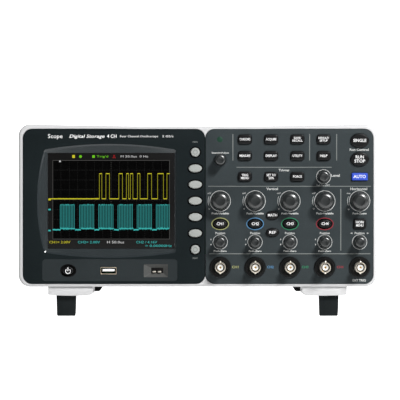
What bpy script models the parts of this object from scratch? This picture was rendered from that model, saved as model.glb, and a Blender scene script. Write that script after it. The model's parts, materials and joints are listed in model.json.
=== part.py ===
"""Four-channel bench oscilloscope: a case of two mouldings, a screen, keys, knobs, sockets and fold-out legs.

The pieces are laid out on the front panel: X runs to the right, Y runs up the panel and Z points out of it.
The Case_frame empty carries them all. It leans the case back onto its rear feet and its two fold-out legs.
"""
import math

import bmesh
import bpy
from mathutils import Matrix, Vector

MM = 0.001

# Fits
fixed_gap = 0.4 * MM
fascia_fit = 0.35 * MM
key_fit = 0.35 * MM
shaft_fit = 0.45 * MM
leg_fit = 0.4 * MM
pivot_fit = 0.35 * MM
window_fit = 0.3 * MM

# Screen half of the front
display_width = 115.2 * MM
display_height = 86.9 * MM
display_left_margin = 22.6 * MM
display_right_margin = 27.8 * MM
display_bottom_margin = 32.1 * MM
display_top_margin = 22.0 * MM
bezel_margin = 3.4 * MM
bezel_bow_top = 5.4 * MM
bezel_bow_side = 5.8 * MM
bezel_bow_bottom = 5.8 * MM
bezel_depth = 1.4 * MM
window_thickness = 1.5 * MM

# Control half of the front
column_pitch = 31.7 * MM
first_column_margin = 13.4 * MM
last_column_margin = 12.6 * MM
socket_row_margin = 15.2 * MM
position_row_step = 22.9 * MM
channel_row_step = 16.5 * MM
scale_row_step = 20.8 * MM
trigger_row_step = 22.1 * MM
menu_row_step = 18.9 * MM
top_row_step = 15.0 * MM
top_row_margin = 9.6 * MM
menu_first_offset = 22.4 * MM
menu_last_gap = 32.8 * MM

# Fascias
fascia_thickness = 3.0 * MM
fascia_proud = 0.6 * MM
fascia_corner = 8.5 * MM
fascia_gap = 0.5 * MM

# Case
rim_left = 4.2 * MM
rim_right = 2.9 * MM
rim_bottom = 2.7 * MM
rim_top = 4.3 * MM
case_depth = 118.0 * MM
front_frame_depth = 26.0 * MM
case_corner = 10.5 * MM
top_dip = 2.0 * MM
wall = 2.6 * MM
ledge_width = 2.2 * MM
ledge_thickness = 2.3 * MM
rear_step = 1.2 * MM
rear_bevel = 5.0 * MM
front_bevel = 1.1 * MM

# Keys
key_lip = 0.8 * MM
key_flange = 2.2 * MM
key_travel = 1.0 * MM
key_rise = 1.9 * MM
key_chamfer = 0.5 * MM
menu_key_width = 12.3 * MM
menu_key_height = 8.3 * MM
menu_key_corner = 2.2 * MM
run_key_width = 16.6 * MM
run_key_height = 12.6 * MM
auto_key_width = 14.6 * MM
auto_key_height = 6.8 * MM
channel_key_width = 11.4 * MM
channel_key_height = 7.2 * MM
math_key_width = 11.6 * MM
math_key_height = 7.4 * MM
math_key_offset = 7.8 * MM
horizontal_key_width = 11.4 * MM
horizontal_key_height = 9.0 * MM
soft_key_width = 12.0 * MM
soft_key_height = 7.1 * MM
soft_key_round = 8.0 * MM
soft_key_pitch = 14.75 * MM
soft_key_offset = 19.0 * MM
soft_key_count = 7
power_key_width = 9.8 * MM
power_key_height = 7.2 * MM
power_key_offset = 41.1 * MM
strip_row_margin = 12.0 * MM
power_dish_margin = 2.4 * MM

# Knobs
shaft_radius = 3.0 * MM
knob_lift = 0.5 * MM
scale_knob_radius = 8.4 * MM
scale_knob_height = 13.0 * MM
small_knob_radius = 5.7 * MM
small_knob_height = 12.0 * MM
adjust_knob_drop = 3.7 * MM
run_key_drop = 3.0 * MM
single_key_drop = 1.1 * MM
knob_steps = 16

# Sockets
socket_radius = 4.85 * MM
socket_bore = 4.05 * MM
socket_insulator = 2.9 * MM
socket_length = 12.4 * MM
socket_body = 5.5 * MM
socket_fit = 0.5 * MM
collar_radius = 9.4 * MM
collar_height = 1.5 * MM
collar_lip = 0.8 * MM
lug_radius = 1.0 * MM
lug_rise = 0.8 * MM
socket_steps = 14

# Ports
usb_offset = 77.8 * MM
usb_width = 14.2 * MM
usb_height = 6.1 * MM
usb_depth = 13.5 * MM
usb_wall = 0.5 * MM
port_fit = 0.35 * MM
probe_offset = 120.9 * MM
probe_width = 22.0 * MM
probe_height = 11.9 * MM
probe_tab_pitch = 4.4 * MM
probe_tab_width = 3.2 * MM
probe_tab_height = 1.2 * MM
probe_tab_rise = 0.8 * MM
probe_tab_shift = 1.0 * MM

# Boards and inner parts
board_thickness = 1.6 * MM
board_gap = 2.5 * MM
encoder_size = 11.0 * MM
switch_size = 6.0 * MM
module_thickness = 6.5 * MM
module_margin = 4.0 * MM
chassis_gap = 5.0 * MM
sheet = 1.2 * MM
inner_margin = 5.0 * MM
fan_size = 60.0 * MM
fan_depth = 15.0 * MM
fan_bore = 28.0 * MM
fan_hub = 12.0 * MM
fan_blades = 7
slot_width = 3.0 * MM
slot_pitch = 6.0 * MM
slot_length = 52.0 * MM
slot_count = 9
inlet_width = 27.0 * MM
inlet_height = 19.4 * MM
inlet_depth = 16.0 * MM
inlet_wall = 1.5 * MM
inlet_flange = 2.2 * MM

# Feet
housing_width = 40.8 * MM
housing_inset = 26.8 * MM
housing_drop = 7.9 * MM
housing_length = 34.0 * MM
housing_setback = 3.0 * MM
housing_wall = 4.2 * MM
housing_corner = 2.6 * MM
leg_offset = 33.9 * MM
leg_width = 18.4 * MM
leg_taper = 0.7 * MM
leg_thickness = 4.4 * MM
leg_drop = 26.5 * MM
leg_corner = 2.2 * MM
pivot_drop = 4.2 * MM
pivot_radius = 1.2 * MM
pivot_reach = 1.3 * MM
foot_length = 20.0 * MM
foot_drop = 8.2 * MM
foot_rear_margin = 6.0 * MM
foot_chamfer = 4.0 * MM
foot_slant = 5.2 * MM
foot_reach = 6.9 * MM

# Places that follow from the sizes above
screen_width = display_left_margin + display_width + display_right_margin
control_width = first_column_margin + 4 * column_pitch + last_column_margin
control_stack = (socket_row_margin + position_row_step + channel_row_step + scale_row_step
                 + trigger_row_step + menu_row_step + top_row_step + top_row_margin)
screen_stack = display_bottom_margin + display_height + display_top_margin
fascia_height = max(control_stack, screen_stack)
case_width = rim_left + screen_width + fascia_gap + control_width + rim_right
case_height = rim_bottom + fascia_height + rim_top

left_edge = -case_width / 2
right_edge = case_width / 2
screen_left = left_edge + rim_left
screen_right = screen_left + screen_width
control_left = screen_right + fascia_gap
control_right = control_left + control_width
fascia_top = rim_bottom + fascia_height

columns = [control_left + first_column_margin + i * column_pitch for i in range(5)]
menu_pitch = (4 * column_pitch - menu_first_offset - menu_last_gap) / 3
menu_columns = [columns[0] + menu_first_offset + i * menu_pitch for i in range(4)]
socket_row = rim_bottom + socket_row_margin
position_row = socket_row + position_row_step
channel_row = position_row + channel_row_step
scale_row = channel_row + scale_row_step
trigger_row = scale_row + trigger_row_step
menu_row = trigger_row + menu_row_step
top_row = menu_row + top_row_step
strip_row = rim_bottom + strip_row_margin

display_left = screen_left + display_left_margin
display_right = display_left + display_width
display_bottom = rim_bottom + display_bottom_margin
display_top = display_bottom + display_height
display_middle = (display_bottom + display_top) / 2
soft_key_column = display_right + soft_key_offset

fascia_front = fascia_proud
fascia_back = fascia_front - fascia_thickness
flange_front = fascia_back - 0.3 * MM
flange_back = flange_front - key_flange
board_front = flange_back - board_gap
board_back = board_front - board_thickness
module_front = fascia_back - fixed_gap
chassis_front = board_back - chassis_gap
chassis_back = chassis_front - sheet
main_board_front = chassis_back - 6.0 * MM
rear_wall_inner = -case_depth + wall
ledge_front = fascia_back - 0.3 * MM
ledge_back = ledge_front - ledge_thickness
rear_case_front = -front_frame_depth - fixed_gap

leg_axis_depth = -housing_setback - housing_wall - leg_fit - leg_thickness / 2
foot_back = -case_depth + foot_rear_margin
foot_contact = foot_back + foot_chamfer
lean = math.atan2(leg_drop - foot_drop, leg_axis_depth - foot_contact)

for old in list(bpy.data.objects):
    bpy.data.objects.remove(old)

parts = bpy.data.collections.new("Oscilloscope")
cutters = bpy.data.collections.new("Cutters")
bpy.context.scene.collection.children.link(parts)
bpy.context.scene.collection.children.link(cutters)

case_frame = bpy.data.objects.new("Case_frame", None)
case_frame.rotation_euler = (math.radians(90) - lean, 0, 0)
parts.objects.link(case_frame)


def finish(name, bm, colour, roughness, metallic=0.0, at=(0, 0, 0), sharp=35):
    """One named piece on the case, shaded smooth over its rounded edges, with a material of its own."""
    bmesh.ops.recalc_face_normals(bm, faces=bm.faces)
    mesh = bpy.data.meshes.new(name)
    bm.to_mesh(mesh)
    bm.free()
    mesh.shade_smooth()
    mesh.set_sharp_from_angle(angle=math.radians(sharp))
    return place(name, mesh, colour, roughness, metallic, at)


def place(name, mesh, colour, roughness, metallic, at):
    piece = bpy.data.objects.new(name, mesh)
    piece.parent = case_frame
    piece.location = at
    parts.objects.link(piece)
    material = bpy.data.materials.new(name)
    material.use_nodes = True
    shader = material.node_tree.nodes["Principled BSDF"]
    shader.inputs["Base Color"].default_value = (*colour, 1)
    shader.inputs["Roughness"].default_value = roughness
    shader.inputs["Metallic"].default_value = metallic
    mesh.materials.append(material)
    return piece


def tool(name, bm):
    """A closed cutter or joining shape, kept as a wire guide."""
    bmesh.ops.recalc_face_normals(bm, faces=bm.faces)
    mesh = bpy.data.meshes.new(name)
    bm.to_mesh(mesh)
    bm.free()
    guide = bpy.data.objects.new(name, mesh)
    guide.parent = case_frame
    guide.hide_render = True
    guide.display_type = "WIRE"
    cutters.objects.link(guide)
    return guide


def combine(piece, bm, operation, label):
    """A Boolean of the piece with a guide made from the given mesh."""
    modifier = piece.modifiers.new(label, "BOOLEAN")
    modifier.operation = operation
    modifier.object = tool(piece.name + "_" + label, bm)


def outline(left, right, bottom, top, corner, steps=4, bows=(0, 0, 0, 0)):
    """A rounded rectangle, anticlockwise. The bows swell its right, top, left and bottom sides."""
    centres = ((right - corner, bottom + corner), (right - corner, top - corner),
               (left + corner, top - corner), (left + corner, bottom + corner))
    arcs = []
    for index, (x, y) in enumerate(centres):
        turns = [math.radians(90 * (index - 1) + 90 * k / steps) for k in range(steps + 1)]
        arcs.append([(x + corner * math.cos(a), y + corner * math.sin(a)) for a in turns])
    points = []
    for index, arc in enumerate(arcs):
        points += arc
        start = arc[-1]
        end = arcs[(index + 1) % 4][0]
        facing = math.radians(90 * index)
        if bows[index]:
            for k in range(1, 8):
                s = k / 8
                swell = bows[index] * 4 * s * (1 - s)
                x = start[0] + (end[0] - start[0]) * s + swell * math.cos(facing)
                y = start[1] + (end[1] - start[1]) * s + swell * math.sin(facing)
                points.append((x, y))
    return points


def centred(x, y, width, height, corner, steps=3):
    return outline(x - width / 2, x + width / 2, y - height / 2, y + height / 2, corner, steps)


def oval(x, y, width, height, steps=16):
    turns = [math.tau * k / steps for k in range(steps)]
    return [(x + width / 2 * math.cos(a), y + height / 2 * math.sin(a)) for a in turns]


def slab(outlines, low, high):
    """A flat plate between two depths. The first outline is its edge and the others are holes."""
    curve = bpy.data.curves.new("outline", "CURVE")
    curve.dimensions = "2D"
    curve.fill_mode = "BOTH"
    curve.extrude = (high - low) / 2
    for points in outlines:
        spline = curve.splines.new("POLY")
        spline.points.add(len(points) - 1)
        spline.use_cyclic_u = True
        for point, (x, y) in zip(spline.points, points):
            point.co = (x, y, 0, 1)
    holder = bpy.data.objects.new("outline", curve)
    parts.objects.link(holder)
    graph = bpy.context.evaluated_depsgraph_get()
    mesh = bpy.data.meshes.new_from_object(holder.evaluated_get(graph))
    bpy.data.objects.remove(holder)
    bm = bmesh.new()
    bm.from_mesh(mesh)
    bmesh.ops.remove_doubles(bm, verts=bm.verts, dist=0.005 * MM)
    caps = [f for f in bm.faces if len(f.verts) == 3]
    inner = [e for e in bm.edges if all(len(f.verts) == 3 for f in e.link_faces)]
    bmesh.ops.beautify_fill(bm, faces=caps, edges=inner, method="ANGLE")
    bmesh.ops.translate(bm, vec=(0, 0, (low + high) / 2), verts=bm.verts)
    return bm


def soften(bm, depth, radius, segments=2):
    """Rounds the rim of a plain plate at one depth."""
    bmesh.ops.dissolve_limit(bm, angle_limit=0.01, verts=bm.verts, edges=bm.edges)
    rim = [e for e in bm.edges if all(abs(v.co.z - depth) < 0.01 * MM for v in e.verts)]
    bmesh.ops.bevel(bm, geom=rim, offset=radius, offset_type="OFFSET", segments=segments, profile=0.5,
                    affect="EDGES", material=-1, clamp_overlap=True)


def box(bm, left, right, bottom, top, low, high):
    """Adds a plain block."""
    size = Vector((right - left, top - bottom, high - low))
    middle = Vector(((left + right) / 2, (bottom + top) / 2, (low + high) / 2))
    bmesh.ops.create_cube(bm, size=1, matrix=Matrix.Translation(middle) @ Matrix.Diagonal((*size, 1)))


def block(left, right, bottom, top, low, high):
    bm = bmesh.new()
    box(bm, left, right, bottom, top, low, high)
    return bm


def rod(bm, radius, start, end, segments=16):
    """Adds a round bar between two points."""
    start = Vector(start)
    end = Vector(end)
    way = end - start
    turn = way.to_track_quat("Z", "Y").to_matrix().to_4x4()
    bmesh.ops.create_cone(bm, cap_ends=True, segments=segments, radius1=radius, radius2=radius,
                          depth=way.length, matrix=Matrix.Translation((start + end) / 2) @ turn)


def trim(bm, point, normal):
    """Cuts off everything beyond a plane and closes the face."""
    geometry = bm.verts[:] + bm.edges[:] + bm.faces[:]
    bmesh.ops.bisect_plane(bm, geom=geometry, plane_co=point, plane_no=normal, clear_outer=True)
    bmesh.ops.holes_fill(bm, edges=bm.edges, sides=0)


# White front frame: a ring with a ledge behind each fascia and a leg housing at each side.
bm = slab([outline(left_edge, right_edge, 0, case_height - top_dip, case_corner, 6, (0, 0, 0, 0))],
          -front_frame_depth, 0)
bmesh.ops.dissolve_limit(bm, angle_limit=0.01, verts=bm.verts, edges=bm.edges)
top_edges = [e for e in bm.edges if abs(e.verts[0].co.x - e.verts[1].co.x) > case_width / 2
             and all(v.co.y > case_height / 2 for v in e.verts)]
bmesh.ops.subdivide_edges(bm, edges=top_edges, cuts=9)
half_top = case_width / 2 - case_corner
for vert in bm.verts:
    if vert.co.y > case_height / 2:
        reach = min(abs(vert.co.x) / half_top, 1)
        height_share = (vert.co.y - (case_height - top_dip - case_corner)) / case_corner
        vert.co.y += top_dip * reach * reach * max(min(height_share, 1), 0)
soften(bm, 0, front_bevel, 2)
front_frame = finish("front_frame", bm, (0.86, 0.87, 0.87), 0.42)

bm = bmesh.new()
housing_centres = (left_edge + housing_inset + housing_width / 2, right_edge - housing_inset - housing_width / 2)
for centre in housing_centres:
    piece = slab([outline(centre - housing_width / 2, centre + housing_width / 2, -housing_drop, 0.3 * MM,
                          housing_corner, 3)], -housing_setback - housing_length, -housing_setback)
    box_part = bpy.data.meshes.new("housing")
    piece.to_mesh(box_part)
    piece.free()
    bm.from_mesh(box_part)
combine(front_frame, bm, "UNION", "housings")

pocket_depth = ledge_front
for side, (left, right) in (("left", (screen_left, screen_right)), ("right", (control_left, control_right))):
    bm = slab([outline(left - fascia_fit, right + fascia_fit, rim_bottom - fascia_fit, fascia_top + fascia_fit,
                       fascia_corner + fascia_fit, 6)], pocket_depth, 2 * MM)
    combine(front_frame, bm, "DIFFERENCE", "pocket_" + side)
bm = slab([outline(screen_left + ledge_width, control_right - ledge_width, rim_bottom + ledge_width,
                   fascia_top - ledge_width, fascia_corner, 4)], ledge_back - 1 * MM, pocket_depth + 1 * MM)
combine(front_frame, bm, "DIFFERENCE", "opening")
bm = slab([outline(left_edge + wall, right_edge - wall, wall, case_height - top_dip - wall, case_corner - wall, 4)],
          -front_frame_depth - 1 * MM, ledge_back)
combine(front_frame, bm, "DIFFERENCE", "hollow")

# Each housing has a slot that the leg folds into, with a hole in both sides for its pivot.
bm = bmesh.new()
leg_centres = (left_edge + leg_offset + leg_width / 2, right_edge - leg_offset - leg_width / 2)
slot_front = leg_axis_depth + leg_thickness / 2 + leg_fit
slot_back = leg_axis_depth - (leg_drop - pivot_drop) - 2.5 * MM
slot_top = -pivot_drop + leg_thickness / 2 + leg_fit
for centre in leg_centres:
    box(bm, centre - leg_width / 2 - leg_fit, centre + leg_width / 2 + leg_fit,
        -housing_drop - 1 * MM, slot_top, slot_back, slot_front)
combine(front_frame, bm, "DIFFERENCE", "slots")
bm = bmesh.new()
for centre in leg_centres:
    reach = leg_width / 2 + leg_fit + pivot_reach
    rod(bm, pivot_radius + pivot_fit, (centre - reach, -pivot_drop, leg_axis_depth),
        (centre + reach, -pivot_drop, leg_axis_depth), 12)
combine(front_frame, bm, "DIFFERENCE", "pivots")

# Rear case: a tub with vent slots in both sides, a fan grille and a mains opening.
rear_left = left_edge + rear_step
rear_right = right_edge - rear_step
rear_bottom = 0.7 * MM
rear_top = case_height - top_dip - rear_step
rear_corner = case_corner - rear_step
bm = slab([outline(rear_left, rear_right, rear_bottom, rear_top, rear_corner, 4)], -case_depth, rear_case_front)
soften(bm, -case_depth, rear_bevel, 2)
rear_case = finish("rear_case", bm, (0.72, 0.73, 0.73), 0.5)
bm = slab([outline(rear_left + wall, rear_right - wall, rear_bottom + wall, rear_top - wall, rear_corner - wall, 3)],
          rear_wall_inner, rear_case_front + 1 * MM)
combine(rear_case, bm, "DIFFERENCE", "hollow")
bm = bmesh.new()
slot_first = -case_depth + 20 * MM
slot_middle = case_height / 2
for i in range(slot_count):
    depth = slot_first + i * slot_pitch
    box(bm, rear_left - 1 * MM, rear_right + 1 * MM, slot_middle - slot_length / 2, slot_middle + slot_length / 2,
        depth - slot_width / 2, depth + slot_width / 2)
combine(rear_case, bm, "DIFFERENCE", "vents")
fan_column = right_edge - 65 * MM
fan_row = case_height / 2
grille_reach = fan_bore - 1.5 * MM
bm = bmesh.new()
grille_rows = int(2 * grille_reach / slot_pitch)
for i in range(grille_rows):
    offset = (i - (grille_rows - 1) / 2) * slot_pitch
    half = math.sqrt(max(grille_reach ** 2 - offset ** 2, (6 * MM) ** 2))
    box(bm, fan_column - half, fan_column + half, fan_row + offset - slot_width / 2, fan_row + offset + slot_width / 2,
        -case_depth - 1 * MM, rear_wall_inner + 1 * MM)
combine(rear_case, bm, "DIFFERENCE", "grille")
inlet_column = left_edge + 43 * MM
inlet_row = rear_bottom + 30 * MM
bm = block(inlet_column - inlet_width / 2 - fixed_gap, inlet_column + inlet_width / 2 + fixed_gap,
           inlet_row - inlet_height / 2 - fixed_gap, inlet_row + inlet_height / 2 + fixed_gap,
           -case_depth - 1 * MM, rear_wall_inner + 1 * MM)
combine(rear_case, bm, "DIFFERENCE", "inlet_opening")

# Screen fascia, with holes for the window, the soft keys, the power key and the ports.
soft_keys = []
for i in range(soft_key_count):
    row = display_middle + ((soft_key_count - 1) / 2 - i) * soft_key_pitch
    end = i in (0, soft_key_count - 1)
    width = soft_key_round if end else soft_key_width
    height = soft_key_round if end else soft_key_height
    soft_keys.append((row, width, height))
power_column = screen_left + power_key_offset
usb_column = screen_left + usb_offset
probe_column = screen_left + probe_offset
holes = [outline(screen_left, screen_right, rim_bottom, fascia_top, fascia_corner, 6)]
holes.append(outline(display_left - window_fit, display_right + window_fit, display_bottom - window_fit,
                     display_top + window_fit, window_fit, 1))
for row, width, height in soft_keys:
    holes.append(oval(soft_key_column, row, width + 2 * key_fit, height + 2 * key_fit))
holes.append(oval(power_column, strip_row, power_key_width + 2 * key_fit, power_key_height + 2 * key_fit))
holes.append(centred(usb_column, strip_row, usb_width + 2 * port_fit, usb_height + 2 * port_fit, 0.8 * MM, 2))
holes.append(centred(probe_column, strip_row, probe_width, probe_height, 2 * MM, 3))
screen_fascia = finish("screen_fascia", slab(holes, fascia_back, fascia_front), (0.028, 0.036, 0.042), 0.48)
bezel = outline(display_left - bezel_margin, display_right + bezel_margin * 0.5, display_bottom - bezel_margin * 0.6,
                display_top + bezel_margin * 0.8, 1.5 * MM, 2, (0, bezel_bow_top, bezel_bow_side, bezel_bow_bottom))
combine(screen_fascia, slab([bezel], fascia_front - bezel_depth, fascia_front + 1 * MM), "DIFFERENCE", "bezel")
dish = oval(power_column, strip_row, power_key_width + 2 * power_dish_margin,
            power_key_height + 2 * power_dish_margin)
combine(screen_fascia, slab([dish], fascia_front - 0.8 * MM, fascia_front + 1 * MM), "DIFFERENCE", "dish")

# Clear window in the bezel and the display module behind it
window_front = fascia_front - bezel_depth
finish("display_window", block(display_left, display_right, display_bottom, display_top,
                               window_front - window_thickness, window_front), (0.02, 0.022, 0.024), 0.08)
bm = block(display_left - module_margin, display_right + module_margin, display_bottom - module_margin,
           display_top + module_margin, module_front - module_thickness, module_front)
finish("lcd_module", bm, (0.35, 0.36, 0.37), 0.4, 0.6)

# Every key: name, place, size, shape and colour
dark = (0.012, 0.013, 0.015)
grey = (0.56, 0.58, 0.56)
blue = (0.035, 0.09, 0.5)
keys = []
for i, (row, width, height) in enumerate(soft_keys):
    label = "menu_on_off_key" if i == 0 else "print_key" if i == soft_key_count - 1 else "option_key_" + str(i)
    keys.append((label, soft_key_column, row, width, height, "oval", grey))
keys.append(("power_key", power_column, strip_row, power_key_width, power_key_height, "oval", dark))
menu_names = (("cursors_key", "acquire_key", "save_recall_key", "default_setup_key"),
              ("measure_key", "display_key", "utility_key", "help_key"))
for row, names in zip((top_row, menu_row), menu_names):
    for column, label in zip(menu_columns, names):
        keys.append((label, column, row, menu_key_width, menu_key_height, "rounded", dark))
for column, label in zip(menu_columns, ("trigger_menu_key", "set_to_half_key", "force_key")):
    keys.append((label, column, trigger_row, menu_key_width, menu_key_height, "rounded", dark))
keys.append(("single_key", columns[4], top_row - single_key_drop, run_key_width, run_key_height, "oval", dark))
keys.append(("run_stop_key", columns[4], menu_row - run_key_drop, run_key_width, run_key_height, "oval", dark))
keys.append(("auto_key", columns[4], trigger_row, auto_key_width, auto_key_height, "square", blue))
for i in range(4):
    keys.append(("channel_" + str(i + 1) + "_key", columns[i], channel_row, channel_key_width, channel_key_height,
                 "oval", dark))
middle_column = (columns[1] + columns[2]) / 2
keys.append(("math_key", middle_column, channel_row + math_key_offset, math_key_width, math_key_height, "oval", dark))
keys.append(("reference_key", middle_column, channel_row - math_key_offset, math_key_width, math_key_height,
             "oval", dark))
keys.append(("horizontal_menu_key", columns[4], channel_row, horizontal_key_width, horizontal_key_height,
             "rounded", dark))
corners = {"rounded": menu_key_corner, "square": 0.9 * MM}


def key_outline(x, y, width, height, shape, extra):
    """The outline of a key, or of the hole or flange that is larger by the extra all round."""
    if shape == "oval":
        return oval(x, y, width + 2 * extra, height + 2 * extra)
    return centred(x, y, width + 2 * extra, height + 2 * extra, corners[shape] + extra, 2)


def key_body(width, height, shape):
    """A cap with a chamfered face, standing on a flange that stays behind the fascia."""
    bm = bmesh.new()
    flange_width = width + 2 * key_lip
    flange_height = height + 2 * key_lip
    if shape == "oval":
        bmesh.ops.create_circle(bm, cap_ends=True, segments=16, radius=0.5)
        bmesh.ops.scale(bm, vec=(flange_width, flange_height, 1), verts=bm.verts)
    else:
        bmesh.ops.create_grid(bm, x_segments=1, y_segments=1, size=0.5)
        bmesh.ops.scale(bm, vec=(flange_width, flange_height, 1), verts=bm.verts)
        bmesh.ops.bevel(bm, geom=bm.verts[:], offset=corners[shape] + key_lip, offset_type="OFFSET", segments=2,
                        profile=0.5, affect="VERTICES", material=-1)
    bmesh.ops.translate(bm, vec=(0, 0, flange_back), verts=bm.verts)
    grown = bmesh.ops.extrude_face_region(bm, geom=bm.faces[:])
    top = [f for f in grown["geom"] if isinstance(f, bmesh.types.BMFace)][0]
    bmesh.ops.translate(bm, vec=(0, 0, key_flange), verts=top.verts)
    bmesh.ops.inset_individual(bm, faces=[top], thickness=key_lip)
    top = bmesh.ops.extrude_discrete_faces(bm, faces=[top])["faces"][0]
    shoulder = fascia_front + key_rise - key_chamfer
    bmesh.ops.translate(bm, vec=(0, 0, shoulder - flange_front), verts=top.verts)
    bmesh.ops.inset_individual(bm, faces=[top], thickness=key_chamfer)
    bmesh.ops.translate(bm, vec=(0, 0, key_chamfer), verts=top.verts)
    return bm


for label, x, y, width, height, shape, colour in keys:
    finish(label, key_body(width, height, shape), colour, 0.45, 0.0, (x, y, 0))

# Knobs: name, place, skirt radius and height
knobs = [("adjust_knob", columns[0], menu_row - adjust_knob_drop, small_knob_radius, small_knob_height),
         ("trigger_level_knob", menu_columns[3], trigger_row, small_knob_radius, small_knob_height)]
for i in range(4):
    knobs.append(("volts_knob_" + str(i + 1), columns[i], scale_row, scale_knob_radius, scale_knob_height))
knobs.append(("timebase_knob", columns[4], scale_row, scale_knob_radius, scale_knob_height))
for i in range(4):
    knobs.append(("position_knob_" + str(i + 1), columns[i], position_row, small_knob_radius, small_knob_height))
knobs.append(("horizontal_position_knob", columns[4], position_row, small_knob_radius, small_knob_height))

shaft_back = flange_back - 0.6 * MM
for label, x, y, radius, height in knobs:
    bottom = fascia_front + knob_lift
    top = fascia_front + height
    grip = radius - 1.3 * MM
    rim = grip - 0.5 * MM
    dish = radius * 0.52
    profile = [(0, top - 0.9 * MM), (dish - 0.6 * MM, top - 0.7 * MM), (dish, top), (rim, top),
               (grip, top - 0.6 * MM), (grip + 0.3 * MM, bottom + 3.2 * MM), (radius - 0.1 * MM, bottom + 1.6 * MM),
               (radius, bottom), (shaft_radius, bottom), (shaft_radius, shaft_back), (0, shaft_back)]
    mesh = bpy.data.meshes.new(label)
    mesh.from_pydata([(r, 0, z) for r, z in profile], [(i, i + 1) for i in range(len(profile) - 1)], [])
    knob = place(label, mesh, (0.03, 0.034, 0.037), 0.42, 0.0, (x, y, 0))
    turned = knob.modifiers.new("turned", "SCREW")
    turned.axis = "Z"
    turned.steps = knob_steps
    turned.render_steps = knob_steps
    turned.use_smooth_shade = True
    turned.use_merge_vertices = True
    turned.merge_threshold = 0.01 * MM

# Control fascia, with a hole for every key, knob shaft and socket, and a raised collar round each socket
holes = [outline(control_left, control_right, rim_bottom, fascia_top, fascia_corner, 6)]
for label, x, y, width, height, shape, colour in keys[soft_key_count + 1:]:
    holes.append(key_outline(x, y, width, height, shape, key_fit))
for label, x, y, radius, height in knobs:
    holes.append(oval(x, y, 2 * (shaft_radius + shaft_fit), 2 * (shaft_radius + shaft_fit), 12))
socket_hole = socket_body + socket_fit
for x in columns:
    holes.append(oval(x, socket_row, 2 * socket_hole, 2 * socket_hole))
control_fascia = finish("control_fascia", slab(holes, fascia_back, fascia_front), (0.042, 0.05, 0.054), 0.5)
rings = []
for x in columns:
    rings.append(oval(x, socket_row, 2 * collar_radius, 2 * collar_radius, 24))
    rings.append(oval(x, socket_row, 2 * (socket_hole + collar_lip), 2 * (socket_hole + collar_lip), 12))
combine(control_fascia, slab(rings, fascia_front - 0.5 * MM, fascia_front + collar_height), "UNION", "collars")

# Five input sockets, soldered to one earth strip
socket_back = chassis_back - 4.5 * MM
strip_front = board_back - 1.5 * MM
bm = slab([centred((columns[0] + columns[4]) / 2, socket_row - 2 * MM, columns[4] - columns[0] + 16 * MM, 18 * MM,
                   3 * MM)], strip_front - sheet, strip_front)
input_sockets = finish("input_sockets", bm, (0.62, 0.6, 0.55), 0.25, 1.0)
socket_front = fascia_front + socket_length
for i, x in enumerate(columns):
    profile = [(0, socket_front - 3.5 * MM), (socket_insulator, socket_front - 1.0 * MM),
               (socket_insulator, socket_front - 8 * MM), (socket_bore, socket_front - 8 * MM),
               (socket_bore, socket_front), (socket_radius, socket_front),
               (socket_radius, fascia_front + 2.4 * MM), (socket_body, fascia_front + 2.4 * MM),
               (socket_body, fascia_back - 2.2 * MM), (7.2 * MM, fascia_back - 2.2 * MM),
               (7.2 * MM, fascia_back - 4.2 * MM), (socket_body, fascia_back - 4.2 * MM),
               (socket_body, socket_back), (0, socket_back)]
    mesh = bpy.data.meshes.new("socket")
    mesh.from_pydata([(r, 0, z) for r, z in profile], [(k, k + 1) for k in range(len(profile) - 1)], [])
    barrel = bpy.data.objects.new("socket_" + str(i + 1), mesh)
    barrel.parent = case_frame
    barrel.location = (x, socket_row, 0)
    barrel.hide_render = True
    barrel.display_type = "WIRE"
    cutters.objects.link(barrel)
    turned = barrel.modifiers.new("turned", "SCREW")
    turned.axis = "Z"
    turned.steps = socket_steps
    turned.render_steps = socket_steps
    turned.use_merge_vertices = True
    turned.merge_threshold = 0.01 * MM
    joined = input_sockets.modifiers.new("socket_" + str(i + 1), "BOOLEAN")
    joined.operation = "UNION"
    joined.object = barrel
bm = bmesh.new()
lug_depth = socket_front - 4.5 * MM
for x in columns:
    for way in (-1, 1):
        rod(bm, lug_radius, (x, socket_row + way * (socket_radius - 0.4 * MM), lug_depth),
            (x, socket_row + way * (socket_radius + lug_rise), lug_depth), 6)
combine(input_sockets, bm, "UNION", "lugs")

# Key board: one switch behind each key and one encoder behind each knob
key_board_bottom = socket_row + collar_radius + 2 * MM
bm = slab([outline(soft_key_column - soft_key_width / 2 - key_lip, control_right - 3 * MM, key_board_bottom,
                   fascia_top - 3 * MM, 2 * MM, 2)], board_back, board_front)
key_board = finish("key_board", bm, (0.02, 0.16, 0.06), 0.45)
bm = bmesh.new()
for label, x, y, width, height, shape, colour in keys:
    if label != "power_key":
        box(bm, x - switch_size / 2, x + switch_size / 2, y - switch_size / 2, y + switch_size / 2,
            board_front - 0.4 * MM, flange_back - key_travel - 0.3 * MM)
for label, x, y, radius, height in knobs:
    box(bm, x - encoder_size / 2, x + encoder_size / 2, y - encoder_size / 2, y + encoder_size / 2,
        board_front - 0.4 * MM, flange_front - 0.5 * MM)
combine(key_board, bm, "UNION", "components")
bm = bmesh.new()
for label, x, y, radius, height in knobs:
    rod(bm, shaft_radius + shaft_fit, (x, y, shaft_back - 0.5 * MM), (x, y, flange_front + 1 * MM), 14)
combine(key_board, bm, "DIFFERENCE", "bushings")

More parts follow.
